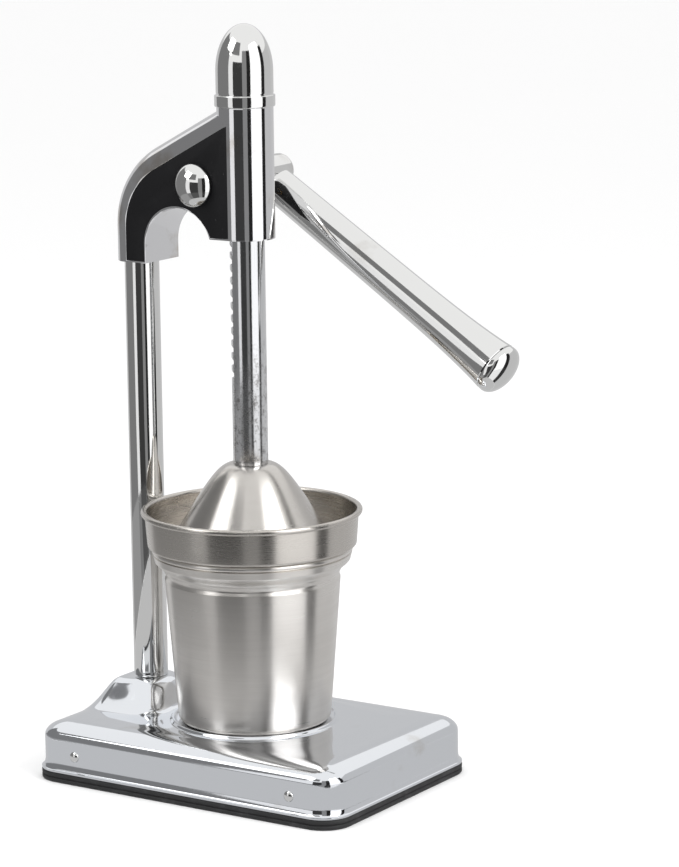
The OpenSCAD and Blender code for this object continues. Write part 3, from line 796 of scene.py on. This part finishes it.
PANEL_BLACK = BlackPaint("satin_black")
MAT_RUBBER = Rubber("mat_rubber")
BEARING = Bronze("turned_bronze")


# ---------------------------------------------------------------- sub-assemblies


@dataclass
class Base:
    """The pressed base: shell with its hump and ring, floor plate, rivets and rubber mat."""

    lip_out: float = 2.0
    lip_h: float = 6.0
    corner_r: float = 15.0
    edge_r: float = 8.0
    edge_w: float = 14.0
    crown: float = 0.5
    hump_r: float = 31.0
    hump_flat_r: float = 9.75
    ring_r: float = 41.5
    ring_h: float = 1.4
    cup_clear_r: float = 43.4
    groove: float = 0.7
    side_steps: int = 72
    corner_steps: int = 12
    length: float = field(init=False)
    width: float = field(init=False)
    column_x: float = field(init=False)
    top_z: float = field(init=False)
    hump_h: float = field(init=False)
    seat_z: float = field(init=False)

    def __post_init__(self) -> None:
        """Reads the base's outer sizes from the frame."""
        span = high_mm("base_shell") - low_mm("base_shell")
        self.length = span.x
        self.width = span.y
        self.column_x = middle_mm("column_tube").x
        self.top_z = low_mm("juice_cup").z - 0.3
        self.hump_h = high_mm("base_shell").z - self.top_z
        self.seat_z = high_mm("rubber_mat").z

    def outline(self, inset: float) -> list[Point]:
        """Returns a rounded rectangle, moved inwards by inset."""
        radius = max(self.corner_r - inset, 4.0)
        half_x = self.length / 2 - inset - radius
        half_y = self.width / 2 - inset - radius
        ring: list[Point] = []
        corners = [(1, 1, 0), (-1, 1, 90), (-1, -1, 180), (1, -1, 270)]
        for k, (sx, sy, start) in enumerate(corners):
            turned = arc((sx * half_x, sy * half_y), radius, start, start + 90, self.corner_steps)
            nx, ny, nstart = corners[(k + 1) % 4]
            onward = arc((nx * half_x, ny * half_y), radius, nstart, nstart + 90, 1)[0]
            ring += turned
            last = turned[-1]
            ring += [
                (mix(last[0], onward[0], i / self.side_steps), mix(last[1], onward[1], i / self.side_steps))
                for i in range(1, self.side_steps)
            ]
        return ring

    def hump(self, x: float, y: float) -> float:
        """Returns how far the hump round the column lifts the top at a point."""
        along = x - self.column_x
        if along < 0:
            along *= 0.32
        distance = math.hypot(along, y)
        t = (self.hump_r - distance) / (self.hump_r - self.hump_flat_r)
        from_cup = math.hypot(x - CUP_X, y)
        clear = smooth((from_cup - self.cup_clear_r) / 8.0)
        wall_x = self.length / 2 - self.lip_out
        end = mix(0.26, 1.0, smooth((x + wall_x) / 15.0))
        return self.hump_h * smooth(t) * clear * end

    def lifted(self, x: float, y: float, z: float) -> Vector:
        """Returns a point of the shell with the hump's lift, which fades down the wall."""
        floor_z = self.seat_z + self.lip_h
        share = min(1.0, max(0.0, (z - floor_z) / (self.top_z - floor_z)))
        return Vector((x, y, z + self.hump(x, y) * share * share))

    def wall_line(self) -> list[Point]:
        """Returns the wall's line as inset and height, from the foot to the flat top."""
        foot = self.seat_z
        lip = self.lip_out
        edge = self.edge_r
        line = [(0.5, foot), (0.05, foot + 0.35), (0.0, foot + 0.8), (0.1, foot + 1.3)]
        flare = 8
        for i in range(1, flare + 1):
            a = math.radians(90.0 * i / flare)
            rise = foot + self.lip_h - (self.lip_h - 1.3) * math.cos(a)
            line.append((0.1 + (lip - 0.1) * math.sin(a), rise))
        line.append((lip, (foot + self.lip_h + self.top_z - edge) / 2))
        for i in range(0, 11):
            a = math.radians(9.0 * i)
            rise = (edge - self.crown) * math.sin(a)
            line.append((lip + self.edge_w * (1 - math.cos(a)), self.top_z - edge + rise))
        return line

    def shell(self) -> bpy.types.Object:
        """Builds the shell as rings that run up the wall, over the top and in to the cup's ring."""
        rings: list[list[Vector]] = []
        for inset, z in self.wall_line():
            rings.append([self.lifted(x, y, z) for x, y in self.outline(inset)])
        rim = self.outline(self.lip_out + self.edge_w)
        outer_r = self.ring_r + self.ring_h + 1.2
        inward = 62
        for step in range(1, inward + 1):
            t = step / inward
            ring = []
            for x, y in rim:
                reach = math.hypot(x - CUP_X, y)
                goal = (CUP_X + (x - CUP_X) * outer_r / reach, y * outer_r / reach)
                px, py = mix(x, goal[0], t), mix(y, goal[1], t)
                drop = self.crown * (1.0 - smooth(t * 1.6))
                ring.append(self.lifted(px, py, self.top_z - drop))
            rings.append(ring)
        circle = [(math.atan2(y, x - CUP_X)) for x, y in rim]
        for radius, lift in self.ring_line():
            rings.append([
                Vector((CUP_X + radius * math.cos(a), radius * math.sin(a), self.top_z + lift))
                for a in circle
            ])
        return Workshop.loft("pressed_base", rings, 60.0)

    def ring_line(self) -> list[Point]:
        """Returns the raised ring's line as radius and lift, then the flat middle."""
        bump = []
        steps = 16
        for i in range(steps + 1):
            u = mix(-1.25, 1.25, i / steps)
            lift = self.ring_h * smooth(1.25 - abs(u)) if abs(u) > 0.25 else self.ring_h
            bump.append((self.ring_r - u * self.ring_h, lift))
        inner = self.ring_r - 2 * self.ring_h
        return bump + [(inner * 0.97, 0.0), (inner * 0.6, 0.0), (inner * 0.2, 0.0)]

    def mat(self) -> bpy.types.Object:
        """Builds the rubber mat with its grooved edge."""
        top = self.seat_z
        mid = top / 2
        g = self.groove
        line = [
            (1.2, 0.0), (0.35, 0.12), (0.0, 0.6), (0.0, mid - g),
            (0.15, mid - 0.6 * g), (g, mid - 0.2), (g, mid + 0.2), (0.15, mid + 0.6 * g),
            (0.0, mid + g), (0.0, top - 0.5), (0.3, top - 0.1), (1.0, top),
        ]
        rings = [[Vector((x, y, z)) for x, y in self.outline(inset)] for inset, z in line]
        return Workshop.loft("rubber_foot_mat", rings, 50.0)

    def rivets(self) -> bpy.types.Object:
        """Builds the four rivets as one piece, each with its dome and shank."""
        low, high = low_mm("base_rivets"), high_mm("base_rivets")
        head_r = (high.z - low.z) / 2
        place_x = (high.x - low.x) / 2 - head_r
        wall = self.width / 2 - self.lip_out
        proud = wall - abs(low.y) if wall > abs(low.y) else abs(low.y) - wall
        line = arc((0.0, 0.0), 1.0, -90.0, 0.0, 8)
        dome = [(abs(x) * head_r, z * proud) for x, z in line]
        dome += [(head_r * 0.98, 0.12), (head_r * 0.5, 0.12), (head_r * 0.5, 2.4), (0.0, 2.4)]
        made = []
        for sx in (-1, 1):
            for sy in (-1, 1):
                origin = Vector((sx * place_x, sy * wall, middle_mm("base_rivets").z))
                seat = pointing(origin, Vector((0.0, -sy, 0.0)))
                made.append(Workshop.lathe("wall_rivet", dome, seat, segments=48))
        return joined("wall_rivets", made)

    def build(self) -> None:
        """Builds and dresses the base."""
        Workshop.book(self.shell(), BASE_PLATE, Part.FRAME, Slot.CHROME, ["base_shell"])
        Workshop.book(self.mat(), MAT_RUBBER, Part.FRAME, Slot.RUBBER, ["rubber_mat"])
        Workshop.book(self.rivets(), PLATE, Part.FRAME, Slot.CHROME, ["base_rivets"])
        Workshop.dress("base_floor_plate", ZINC)


def joined(name: str, made: Sequence[bpy.types.Object]) -> bpy.types.Object:
    """Joins several objects' meshes into one object.

    Args:
        name: the new object's name.
        made: the objects, which are used up.

    Returns:
        The new object.
    """
    shape = bmesh.new()
    for piece in made:
        shape.from_mesh(piece.data)
    mesh = bpy.data.meshes.new(name)
    shape.to_mesh(mesh)
    shape.free()
    for piece in made:
        bpy.data.objects.remove(piece)
    whole = bpy.data.objects.new(name, mesh)
    bpy.context.scene.collection.objects.link(whole)
    return whole


@dataclass
class Column:
    """The column tube with the plug, bolt and washer that hold it."""

    wall: float = 1.5
    edge: float = 0.5

    def tube(self) -> bpy.types.Object:
        """Builds the tube with softly broken ends."""
        low, high = low_mm("column_tube"), high_mm("column_tube")
        radius = (high.x - low.x) / 2
        inner = radius - self.wall
        e = self.edge
        line = [
            (inner, low.z), (radius - e, low.z), (radius - 0.3 * e, low.z + 0.3 * e), (radius, low.z + e),
            (radius, high.z - e), (radius - 0.3 * e, high.z - 0.3 * e), (radius - e, high.z), (inner, high.z),
        ]
        return Workshop.lathe("column", line, upright(middle_mm("column_tube").x), closed=True)

    def build(self) -> None:
        """Builds and dresses the column."""
        Workshop.book(self.tube(), PLATE, Part.FRAME, Slot.CHROME, ["column_tube"])
        for node in ("column_plug", "column_bolt", "column_washer"):
            Workshop.dress(node, MACHINED)


@dataclass
class Head:
    """The head casting with its panels, grub screw, bearings and bullet cap."""

    broken_edge: float = 0.55
    panel_edge: float = 0.3
    collar_h: float = 5.8
    nose_h: float = 23.0
    cap_r: float = 14.2
    barrel_d: float = 28.0
    barrel_foot_z: float = 274.45
    barrel_bore_r: float = 9.1

    def cap(self) -> bpy.types.Object:
        """Builds the bullet cap with its collar."""
        low, high = low_mm("top_cap"), high_mm("top_cap")
        collar_r = (high.x - low.x) / 2
        foot = high_mm("head_casting").z
        spigot_r = collar_r - 3.6
        neck = foot + self.collar_h
        nose = high.z - self.nose_h
        line = filleted(
            [
                (spigot_r - 2.0, low.z), (spigot_r, low.z), (spigot_r, foot), (collar_r, foot),
                (collar_r, neck), (self.cap_r - 0.15, neck), (self.cap_r - 0.15, neck + 0.5),
                (self.cap_r, neck + 1.1), (self.cap_r, nose),
            ],
            0.9,
        )
        turns = [math.radians(90.0 * i / 24) for i in range(1, 25)]
        line += [(self.cap_r * math.cos(a), nose + self.nose_h * math.sin(a)) for a in turns[:-1]]
        line += [(0.0, high.z)]
        inner = spigot_r - 2.0
        line += [(0.0, high.z - 8.0), (inner - 2.0, high.z - 8.0), (inner, high.z - 11.0)]
        return Workshop.lathe("bullet_cap", line, upright(middle_mm("top_cap").x), closed=True)

    def barrel(self) -> bpy.types.Object:
        """Builds the turned skin of the barrel, a hair proud of the casting."""
        radius = self.barrel_d / 2 + 0.03
        bore = middle_mm("rack_bar").y + self.barrel_bore_r
        top = high_mm("head_casting").z
        foot = self.barrel_foot_z
        e = 0.7
        corners = arc((radius - e, foot + e), e, -90.0, 0.0, 5)
        line = [(bore, foot + 1.5), (bore + 0.8, foot)] + corners
        line += [(radius, top - 0.4), (radius - 0.4, top), (bore + 2.0, top), (bore + 2.0, foot + 1.5)]
        return Workshop.lathe("head_barrel", line, upright(CUP_X), closed=True)

    def build(self) -> None:
        """Builds and dresses the head."""
        casting = Workshop.refined("head_body", "head_casting", self.broken_edge)
        Workshop.book(casting, HEAD_PLATE, Part.FRAME, Slot.CHROME, ["head_casting"])
        Workshop.book(self.barrel(), HEAD_PLATE, Part.FRAME, Slot.CHROME, ["head_casting"])
        for side in ("near", "far"):
            node = f"{side}_side_panel"
            panel = Workshop.refined(f"{side}_black_panel", node, self.panel_edge)
            Workshop.book(panel, PANEL_BLACK, Part.FRAME, Slot.PANEL, [node])
        Workshop.book(self.cap(), PLATE, Part.FRAME, Slot.CHROME, ["top_cap"])
        screw = Workshop.refined("grub_screw", "column_grub_screw", 0.2)
        Workshop.book(screw, BRIGHT, Part.FRAME, Slot.BRIGHT, ["column_grub_screw"])
        for node in ("near_axle_bush", "far_axle_bush"):
            Workshop.dress(node, BEARING)


@dataclass
class Drive:
    """The axle with its hub, the pinion and its pin, and the dome nut with its washer."""

    journal_r: float = 6.0
    thread_r: float = 5.0
    thread_pitch: float = 1.25
    half_head: float = 14.0

    def seat(self) -> Matrix:
        """Returns the axle's frame, whose Z runs to the lever side."""
        mid = middle_mm("pinion")
        return pointing(Vector((mid.x, 0.0, mid.z)), Vector((0.0, 1.0, 0.0)))

    def shaft(self) -> bpy.types.Object:
        """Builds the axle: thread, journal and the hub with its rounded end."""
        low, high = low_mm("axle"), high_mm("axle")
        hub_r = (high.x - low.x) / 2
        shoulder = self.half_head + 0.3
        line = [(0.0, low.y)]
        steps = int((-self.half_head - low.y) / self.thread_pitch * 2)
        for i in range(steps):
            depth = 0.5 if i % 2 == 0 else 0.0
            line.append((self.thread_r - depth, low.y + 0.1 + i * self.thread_pitch / 2))
        line += [(self.thread_r, -shoulder), (self.journal_r, -shoulder), (self.journal_r, shoulder)]
        line += filleted(
            [(self.journal_r, shoulder), (hub_r, shoulder), (hub_r, high.y), (0.0, high.y)], 2.2, 7
        )[1:]
        return Workshop.lathe("axle_and_hub", line, self.seat())

    def nut(self) -> bpy.types.Object:
        """Builds the dome nut as a polished cap on a short rim."""
        low, high = low_mm("dome_nut"), high_mm("dome_nut")
        radius = (high.x - low.x) / 2
        height = high.y - low.y
        rim = 1.1
        rise = height - rim
        ball = (radius * radius + rise * rise) / (2 * rise)
        half = math.degrees(math.asin(radius / ball))
        line = [(0.0, 0.0), (radius - 0.35, 0.0), (radius, 0.3), (radius, rim)]
        for i in range(1, 15):
            a = math.radians(half * (1 - i / 14))
            line.append((ball * math.sin(a), height - ball + ball * math.cos(a)))
        mid = middle_mm("dome_nut")
        seat = pointing(Vector((mid.x, high.y, mid.z)), Vector((0.0, -1.0, 0.0)))
        return Workshop.lathe("dome_nut_cap", line, seat, crease=50.0)

    def build(self) -> None:
        """Builds and dresses the drive."""
        Workshop.book(self.shaft(), PLATE, Part.LEVER, Slot.BRIGHT, ["axle"])
        Workshop.book(self.nut(), PLATE, Part.LEVER, Slot.CHROME, ["dome_nut"])
        gear = Workshop.refined("pinion_gear", "pinion", 0.15)
        Workshop.book(gear, MACHINED, Part.LEVER, Slot.PLAIN, ["pinion"])
        Workshop.dress("pinion_pin", MACHINED)
        Workshop.dress("dome_nut_washer", BRIGHT)


@dataclass
class Lever:
    """The lever rod with its tubular grip, end cap and root collar."""

    root_r: float = 9.0
    mid_r: float = 10.5
    end_r: float = 13.0
    wall: float = 1.4
    start: float = 9.8
    cap_h: float = 9.0
    drop: float = 33.0
    length: float = 171.0
    steps: int = 44

    def seat(self) -> Matrix:
        """Returns the lever's frame, whose Z runs out along the lever."""
        axle = middle_mm("pinion")
        side = middle_mm("lever_rod").y
        fall = math.radians(self.drop)
        return pointing(Vector((axle.x, side, axle.z)), Vector((math.cos(fall), 0.0, -math.sin(fall))))

    def radius(self, t: float) -> float:
        """Returns the grip's outer radius, with t from 0 at the axle to 1 at the cap."""
        return self.root_r + (self.mid_r - self.root_r) * t + (self.end_r - self.mid_r) * t**7

    def grip(self) -> bpy.types.Object:
        """Builds the flared tube of the grip, with rolled edges."""
        end = self.length - self.cap_h
        outer = []
        inner = []
        for i in range(self.steps + 1):
            t = i / self.steps
            z = mix(self.start, end, t)
            outer.append((self.radius(t), z))
            inner.append((self.radius(t) - self.wall, z))
        outer[0] = (outer[0][0] - 0.8, self.start)
        outer.insert(1, (self.root_r - 0.2, self.start + 0.25))
        outer.insert(2, (self.root_r, self.start + 0.9))
        outer[-1] = (outer[-1][0] - 0.35, end)
        outer.insert(-1, (self.end_r - 0.02, end - 0.5))
        return Workshop.lathe("lever_sleeve", outer + inner[::-1], self.seat(), closed=True)

    def cap(self) -> bpy.types.Object:
        """Builds the domed cap that closes the grip."""
        end = self.length - self.cap_h
        spigot = self.end_r - self.wall - 1.6
        line = [(0.0, end - 4.0), (spigot - 0.5, end - 4.0), (spigot, end - 3.5), (spigot, end + 0.1)]
        line += [(self.end_r - 0.5, end + 0.1), (self.end_r - 0.1, end + 0.35), (self.end_r, end + 0.9)]
        rise = self.cap_h - 2.0
        foot = end + 2.0
        for i in range(0, 17):
            a = math.radians(90.0 * i / 17)
            line.append((self.end_r * math.cos(a), foot + rise * math.sin(a)))
        line.append((0.0, self.length))
        return Workshop.lathe("lever_end_cap", line, self.seat())

    def build(self) -> None:
        """Builds and dresses the lever."""
        Workshop.book(self.grip(), PLATE, Part.LEVER, Slot.CHROME, ["lever_grip"])
        Workshop.book(self.cap(), PLATE, Part.LEVER, Slot.CHROME, ["grip_end_cap"])
        Workshop.dress("lever_rod", BRIGHT)
        Workshop.dress("grip_root_collar", BRIGHT)


@dataclass
class Ram:
    """The toothed bar with the press cone, its washer and its screw."""

    sheet: float = 1.7
    mouth_r: float = 41.5
    top_r: float = 9.5
    height: float = 40.0
    rolled: float = 1.1
    screw_r: float = 3.3
    bar_r: float = 8.75

    def bell(self, drop: float) -> list[Point]:
        """Returns the bell line of the cone, lowered by drop."""
        top = high_mm("press_cone").z
        a = (self.top_r, top - drop)
        b = (self.top_r + 0.75 * self.bar_r + 1.0, top - drop)
        c = ((self.top_r + self.mouth_r) / 2 - 2.2, top - 0.29 * self.height - drop)
        d = (self.mouth_r, top - self.height - drop)
        line = []
        for i in range(37):
            t = i / 36
            weights = ((1 - t) ** 3, 3 * t * (1 - t) ** 2, 3 * t * t * (1 - t), t**3)
            line.append(tuple(sum(w * p[k] for w, p in zip(weights, (a, b, c, d))) for k in (0, 1)))
        return line

    def cone(self) -> bpy.types.Object:
        """Builds the sheet bell with its rolled edge."""
        top = high_mm("press_cone").z
        outer = self.bell(0.0)
        inner = self.bell(self.sheet)
        edge = (self.mouth_r - 0.4, top - self.height - self.sheet)
        roll = arc(edge, self.rolled, 75.0, -200.0, 14)
        under = [(self.screw_r, top - self.sheet)]
        line = [(self.screw_r, top)] + outer[:-1] + roll + inner[::-1][1:] + under
        return Workshop.lathe("press_bell", line, upright(CUP_X), closed=True, crease=50.0)

    def build(self) -> None:
        """Builds and dresses the ram."""
        bar = Workshop.refined("toothed_bar", "rack_bar", 0.18)
        Workshop.book(bar, BAR, Part.PRESS, Slot.BRIGHT, ["rack_bar"])
        Workshop.book(self.cone(), CONE_STEEL, Part.PRESS, Slot.BRUSHED, ["press_cone"])
        for node in ("cone_washer", "cone_screw"):
            Workshop.dress(node, BRIGHT)


@dataclass
class Vessel:
    """The juice cup, with the strainer and its reamer above it."""

    sheet: float = 0.9
    bead_r: float = 1.5
    neck_r: float = 44.5
    foot_r: float = 38.6
    shoulder_h: float = 12.0
    foot_edge: float = 2.5

    def cup_line(self, inset: float) -> list[Point]:
        """Returns the cup's wall from its foot to its mouth, moved inwards by inset."""
        low, high = low_mm("juice_cup"), high_mm("juice_cup")
        mouth_r = (high.x - low.x) / 2
        neck_z = high.z - self.shoulder_h
        edge = self.foot_edge
        foot = arc((self.foot_r - edge, low.z + edge), edge - inset, -90.0, -10.0, 8)
        wall = [
            (self.foot_r + 0.15 - inset, low.z + edge + 1.0),
            (self.neck_r - inset - 0.3, neck_z - 4.4),
            (self.neck_r - inset - 1.0, neck_z - 2.8),
            (self.neck_r - inset - 1.0, neck_z - 2.0),
            (self.neck_r - inset - 0.2, neck_z - 0.6),
        ]
        shoulder = []
        for i in range(13):
            t = i / 12
            shoulder.append((
                self.neck_r - inset + (mouth_r - 1.0 - self.neck_r) * smooth(t),
                neck_z + self.shoulder_h / 2 * t,
            ))
        top = [(mouth_r - inset - 0.3, high.z - 2 * self.bead_r - 0.3)]
        return foot + filleted(wall + shoulder + top, 0.9, 4)

    def cup(self) -> bpy.types.Object:
        """Builds the spun cup with its rolled mouth."""
        low, high = low_mm("juice_cup"), high_mm("juice_cup")
        mouth_r = (high.x - low.x) / 2
        bead = arc((mouth_r - self.bead_r, high.z - self.bead_r), self.bead_r, -75.0, 205.0, 20)
        outer = [(0.0, low.z), (self.foot_r - 6.0, low.z)] + self.cup_line(0.0)
        inner = self.cup_line(self.sheet)[::-1] + [(0.0, low.z + self.sheet)]
        return Workshop.lathe("spun_juice_cup", outer + bead + inner, upright(CUP_X), segments=192)

    def build(self) -> None:
        """Builds and dresses the cup, the strainer and the reamer."""
        Workshop.book(self.cup(), CUP_STEEL, Part.CUP, Slot.BRUSHED, ["juice_cup"])
        bowl = Workshop.refined("strainer_with_rim", "strainer_bowl", 0.0, 50.0)
        Workshop.book(bowl, BOWL_STEEL, Part.STRAINER, Slot.BRUSHED, ["strainer_bowl"])
        reamer = Workshop.refined("ribbed_reamer", "reamer_cone", 0.0, 40.0)
        Workshop.book(reamer, BOWL_STEEL, Part.STRAINER, Slot.BRUSHED, ["reamer_cone"])


# ---------------------------------------------------------------- studio


@dataclass(frozen=True)
class Card:
    """A studio card on a drum round the press.

    Its angles run to the right of the camera. A card that starts at the floor goes on over
    the floor towards the press, so that its reflection reaches down the column; the nearer
    part of the floor has a level of its own.
    """

    name: str
    start: float
    end: float
    level: float
    low: float = 0.0
    high: float = 760.0
    near_level: float | None = None


@dataclass
class Studio:
    """The pale floor, the cards that the chrome mirrors, soft lights and the camera."""

    azimuth: float = 34.71
    elevation: float = 10.81
    roll: float = -0.95
    distance: float = 1708.9
    lens_per_width: float = 3.9551
    aim: tuple[float, float, float] = (5.13, 0.0, 179.97)
    aside: Point = (0.02471, 0.002)
    drum_r: float = 1250.0
    near_r: float = 520.0
    apron_r: float = 215.0
    apron_level: float = 0.60
    card_lift: float = 1.0
    card_steps: int = 24
    floor_radii: tuple[float, ...] = (9000.0, 4000.0, 1200.0, 300.0)
    floor_sides: int = 96
    lamp_size_m: float = 0.7
    lamp_distance: float = 1100.0
    cards: tuple[Card, ...] = (
        Card("card_left_grey", -132.0, -66.0, 0.22, 0.0, 1350.0, 0.34),
        Card("card_left_white", -66.0, -47.0, 0.95, 0.0, 600.0, 0.23),
        Card("card_front_dark", -47.0, -9.0, 0.05, 0.0, 600.0, 0.10),
        Card("card_banner_grey", -60.0, -20.0, 0.22, 860.0, 1700.0),
        Card("card_front_grey", -9.0, 9.0, 0.27, 0.0, 1100.0, 0.30),
        Card("card_front_black", 9.0, 24.0, 0.02, 0.0, 1100.0, 0.04),
        Card("card_right_white", 24.0, 70.0, 1.30, 0.0, 1350.0, 1.00),
        Card("card_right_black", 70.0, 86.0, 0.02, 0.0, 1100.0, 0.04),
        Card("card_right_grey", 86.0, 130.0, 0.60),
        Card("card_back_pale", 130.0, 228.0, 0.62),
    )

    def axes(self) -> tuple[Vector, Vector, Vector]:
        """Returns the camera's right, up and back directions before it looks aside."""
        a, e = math.radians(self.azimuth), math.radians(self.elevation)
        back = Vector((math.sin(a) * math.cos(e), -math.cos(a) * math.cos(e), math.sin(e)))
        right = Vector((math.cos(a), math.sin(a), 0.0))
        up = back.cross(right)
        r = math.radians(self.roll)
        return right * math.cos(r) + up * math.sin(r), up * math.cos(r) - right * math.sin(r), back

    def camera(self) -> None:
        """Places the camera and turns it so that the press stands left of the middle."""
        right, up, back = self.axes()
        spot = Vector(self.aim) + back * self.distance
        ahead = (right * self.aside[0] - up * self.aside[1] - back).normalized()
        rear = -ahead
        side = up.cross(rear).normalized()
        rise = rear.cross(side)
        turn = Matrix((side, rise, rear)).transposed().to_4x4()
        lens = bpy.data.cameras.new("view")
        lens.sensor_fit = "AUTO"
        lens.sensor_width = 36.0
        lens.lens = 36.0 * self.lens_per_width
        lens.clip_end = 50.0
        eye = bpy.data.objects.new("view", lens)
        eye.matrix_world = Matrix.Translation(spot * MM) @ turn
        bpy.context.scene.collection.objects.link(eye)
        bpy.context.scene.camera = eye

    def floor(self) -> None:
        """Builds the pale table as one wide, finely edged disc."""
        rings = [
            [Vector((r * math.cos(a), r * math.sin(a), 0.0)) for a in self._turns(self.floor_sides)]
            for r in self.floor_radii
        ]
        made = Workshop.loft("pale_floor", rings, caps=False)
        middle = Workshop.solid("pale_floor_middle", rings[-1], [tuple(range(self.floor_sides))], 30.0)
        for piece in (made, middle):
            piece.location.z = -0.02 * MM
            piece.data.materials.append(PaleFloor("pale_table").material())

    @staticmethod
    def _turns(count: int) -> list[float]:
        """Returns evenly spaced angles round a circle."""
        return [2 * math.pi * i / count for i in range(count)]

    def ray(self, angle: float) -> Vector:
        """Returns the level direction at an angle to the right of the camera, in degrees."""
        turn = math.radians(angle) + math.radians(self.azimuth)
        return Vector((math.sin(turn), -math.cos(turn), 0.0))

    def strip(self, name: str, start: float, end: float, low: Point, high: Point, level: float) -> None:
        """Builds a card between two rings, unseen by the camera.

        Args:
            name: the card's name.
            start: its first angle in degrees.
            end: its last angle in degrees.
            low: radius and height of its first edge.
            high: radius and height of its second edge.
            level: how brightly it glows.
        """
        steps = self.card_steps
        points = []
        for i in range(steps + 1):
            out = self.ray(mix(start, end, i / steps))
            points += [out * r + Vector((0.0, 0.0, z)) for r, z in (low, high)]
        faces = [(2 * i, 2 * i + 2, 2 * i + 3, 2 * i + 1) for i in range(steps)]
        made = Workshop.solid(name, points, faces, 30.0)
        made.data.materials.append(Glow(f"glow_{name}", level=level).material())
        made.visible_camera = False
        made.visible_diffuse = False
        made.visible_shadow = False

    def hang(self, card: Card) -> None:
        """Hangs one card on the drum and lays its part of the floor."""
        lift = self.card_lift
        upper = (self.drum_r, card.high)
        self.strip(card.name, card.start, card.end, (self.drum_r, max(card.low, lift)), upper, card.level)
        if card.low > 0:
            return
        far, near, foot = (self.drum_r, lift), (self.near_r, lift), (self.apron_r, lift)
        inner = card.level if card.near_level is None else card.near_level
        self.strip(f"{card.name}_floor", card.start, card.end, near, far, card.level)
        self.strip(f"{card.name}_near", card.start, card.end, foot, near, inner)

    def lights(self) -> None:
        """Sets the even surround and two soft lights."""
        world = bpy.data.worlds.new("surround")
        world.use_nodes = True
        sky = world.node_tree.nodes["Background"]
        sky.inputs["Color"].default_value = (1.0, 1.0, 1.0, 1.0)
        sky.inputs["Strength"].default_value = 1.0
        bpy.context.scene.world = world
        for name, angle, height, power in (("key", 48.0, 900.0, 7.0), ("fill", -70.0, 1100.0, 4.0)):
            spot = self.ray(angle) * self.lamp_distance + Vector((0.0, 0.0, height))
            lamp = bpy.data.lights.new(name, "AREA")
            lamp.size = self.lamp_size_m
            lamp.energy = power
            owner = bpy.data.objects.new(name, lamp)
            towards = spot - Vector((0.0, 0.0, 150.0))
            owner.matrix_world = pointing(spot, towards)
            owner.matrix_world.translation = spot * MM
            bpy.context.scene.collection.objects.link(owner)

    def build(self) -> None:
        """Builds the whole studio."""
        self.camera()
        self.floor()
        for card in self.cards:
            self.hang(card)
        self.strip("card_apron", 0.0, 360.0, (10.0, 0.8), (self.apron_r, 0.8), self.apron_level)
        self.lights()
        bpy.context.scene.view_settings.view_transform = "Standard"
        LOG.info("studio ready with %d cards", len(self.cards))


def main() -> None:
    """Builds every sub-assembly in order, then the studio."""
    logging.basicConfig(level=logging.INFO, format="%(name)s: %(message)s")
    for assembly in (Base(), Column(), Head(), Drive(), Lever(), Ram(), Vessel(), Studio()):
        assembly.build()


if __name__ == "__main__":
    main()
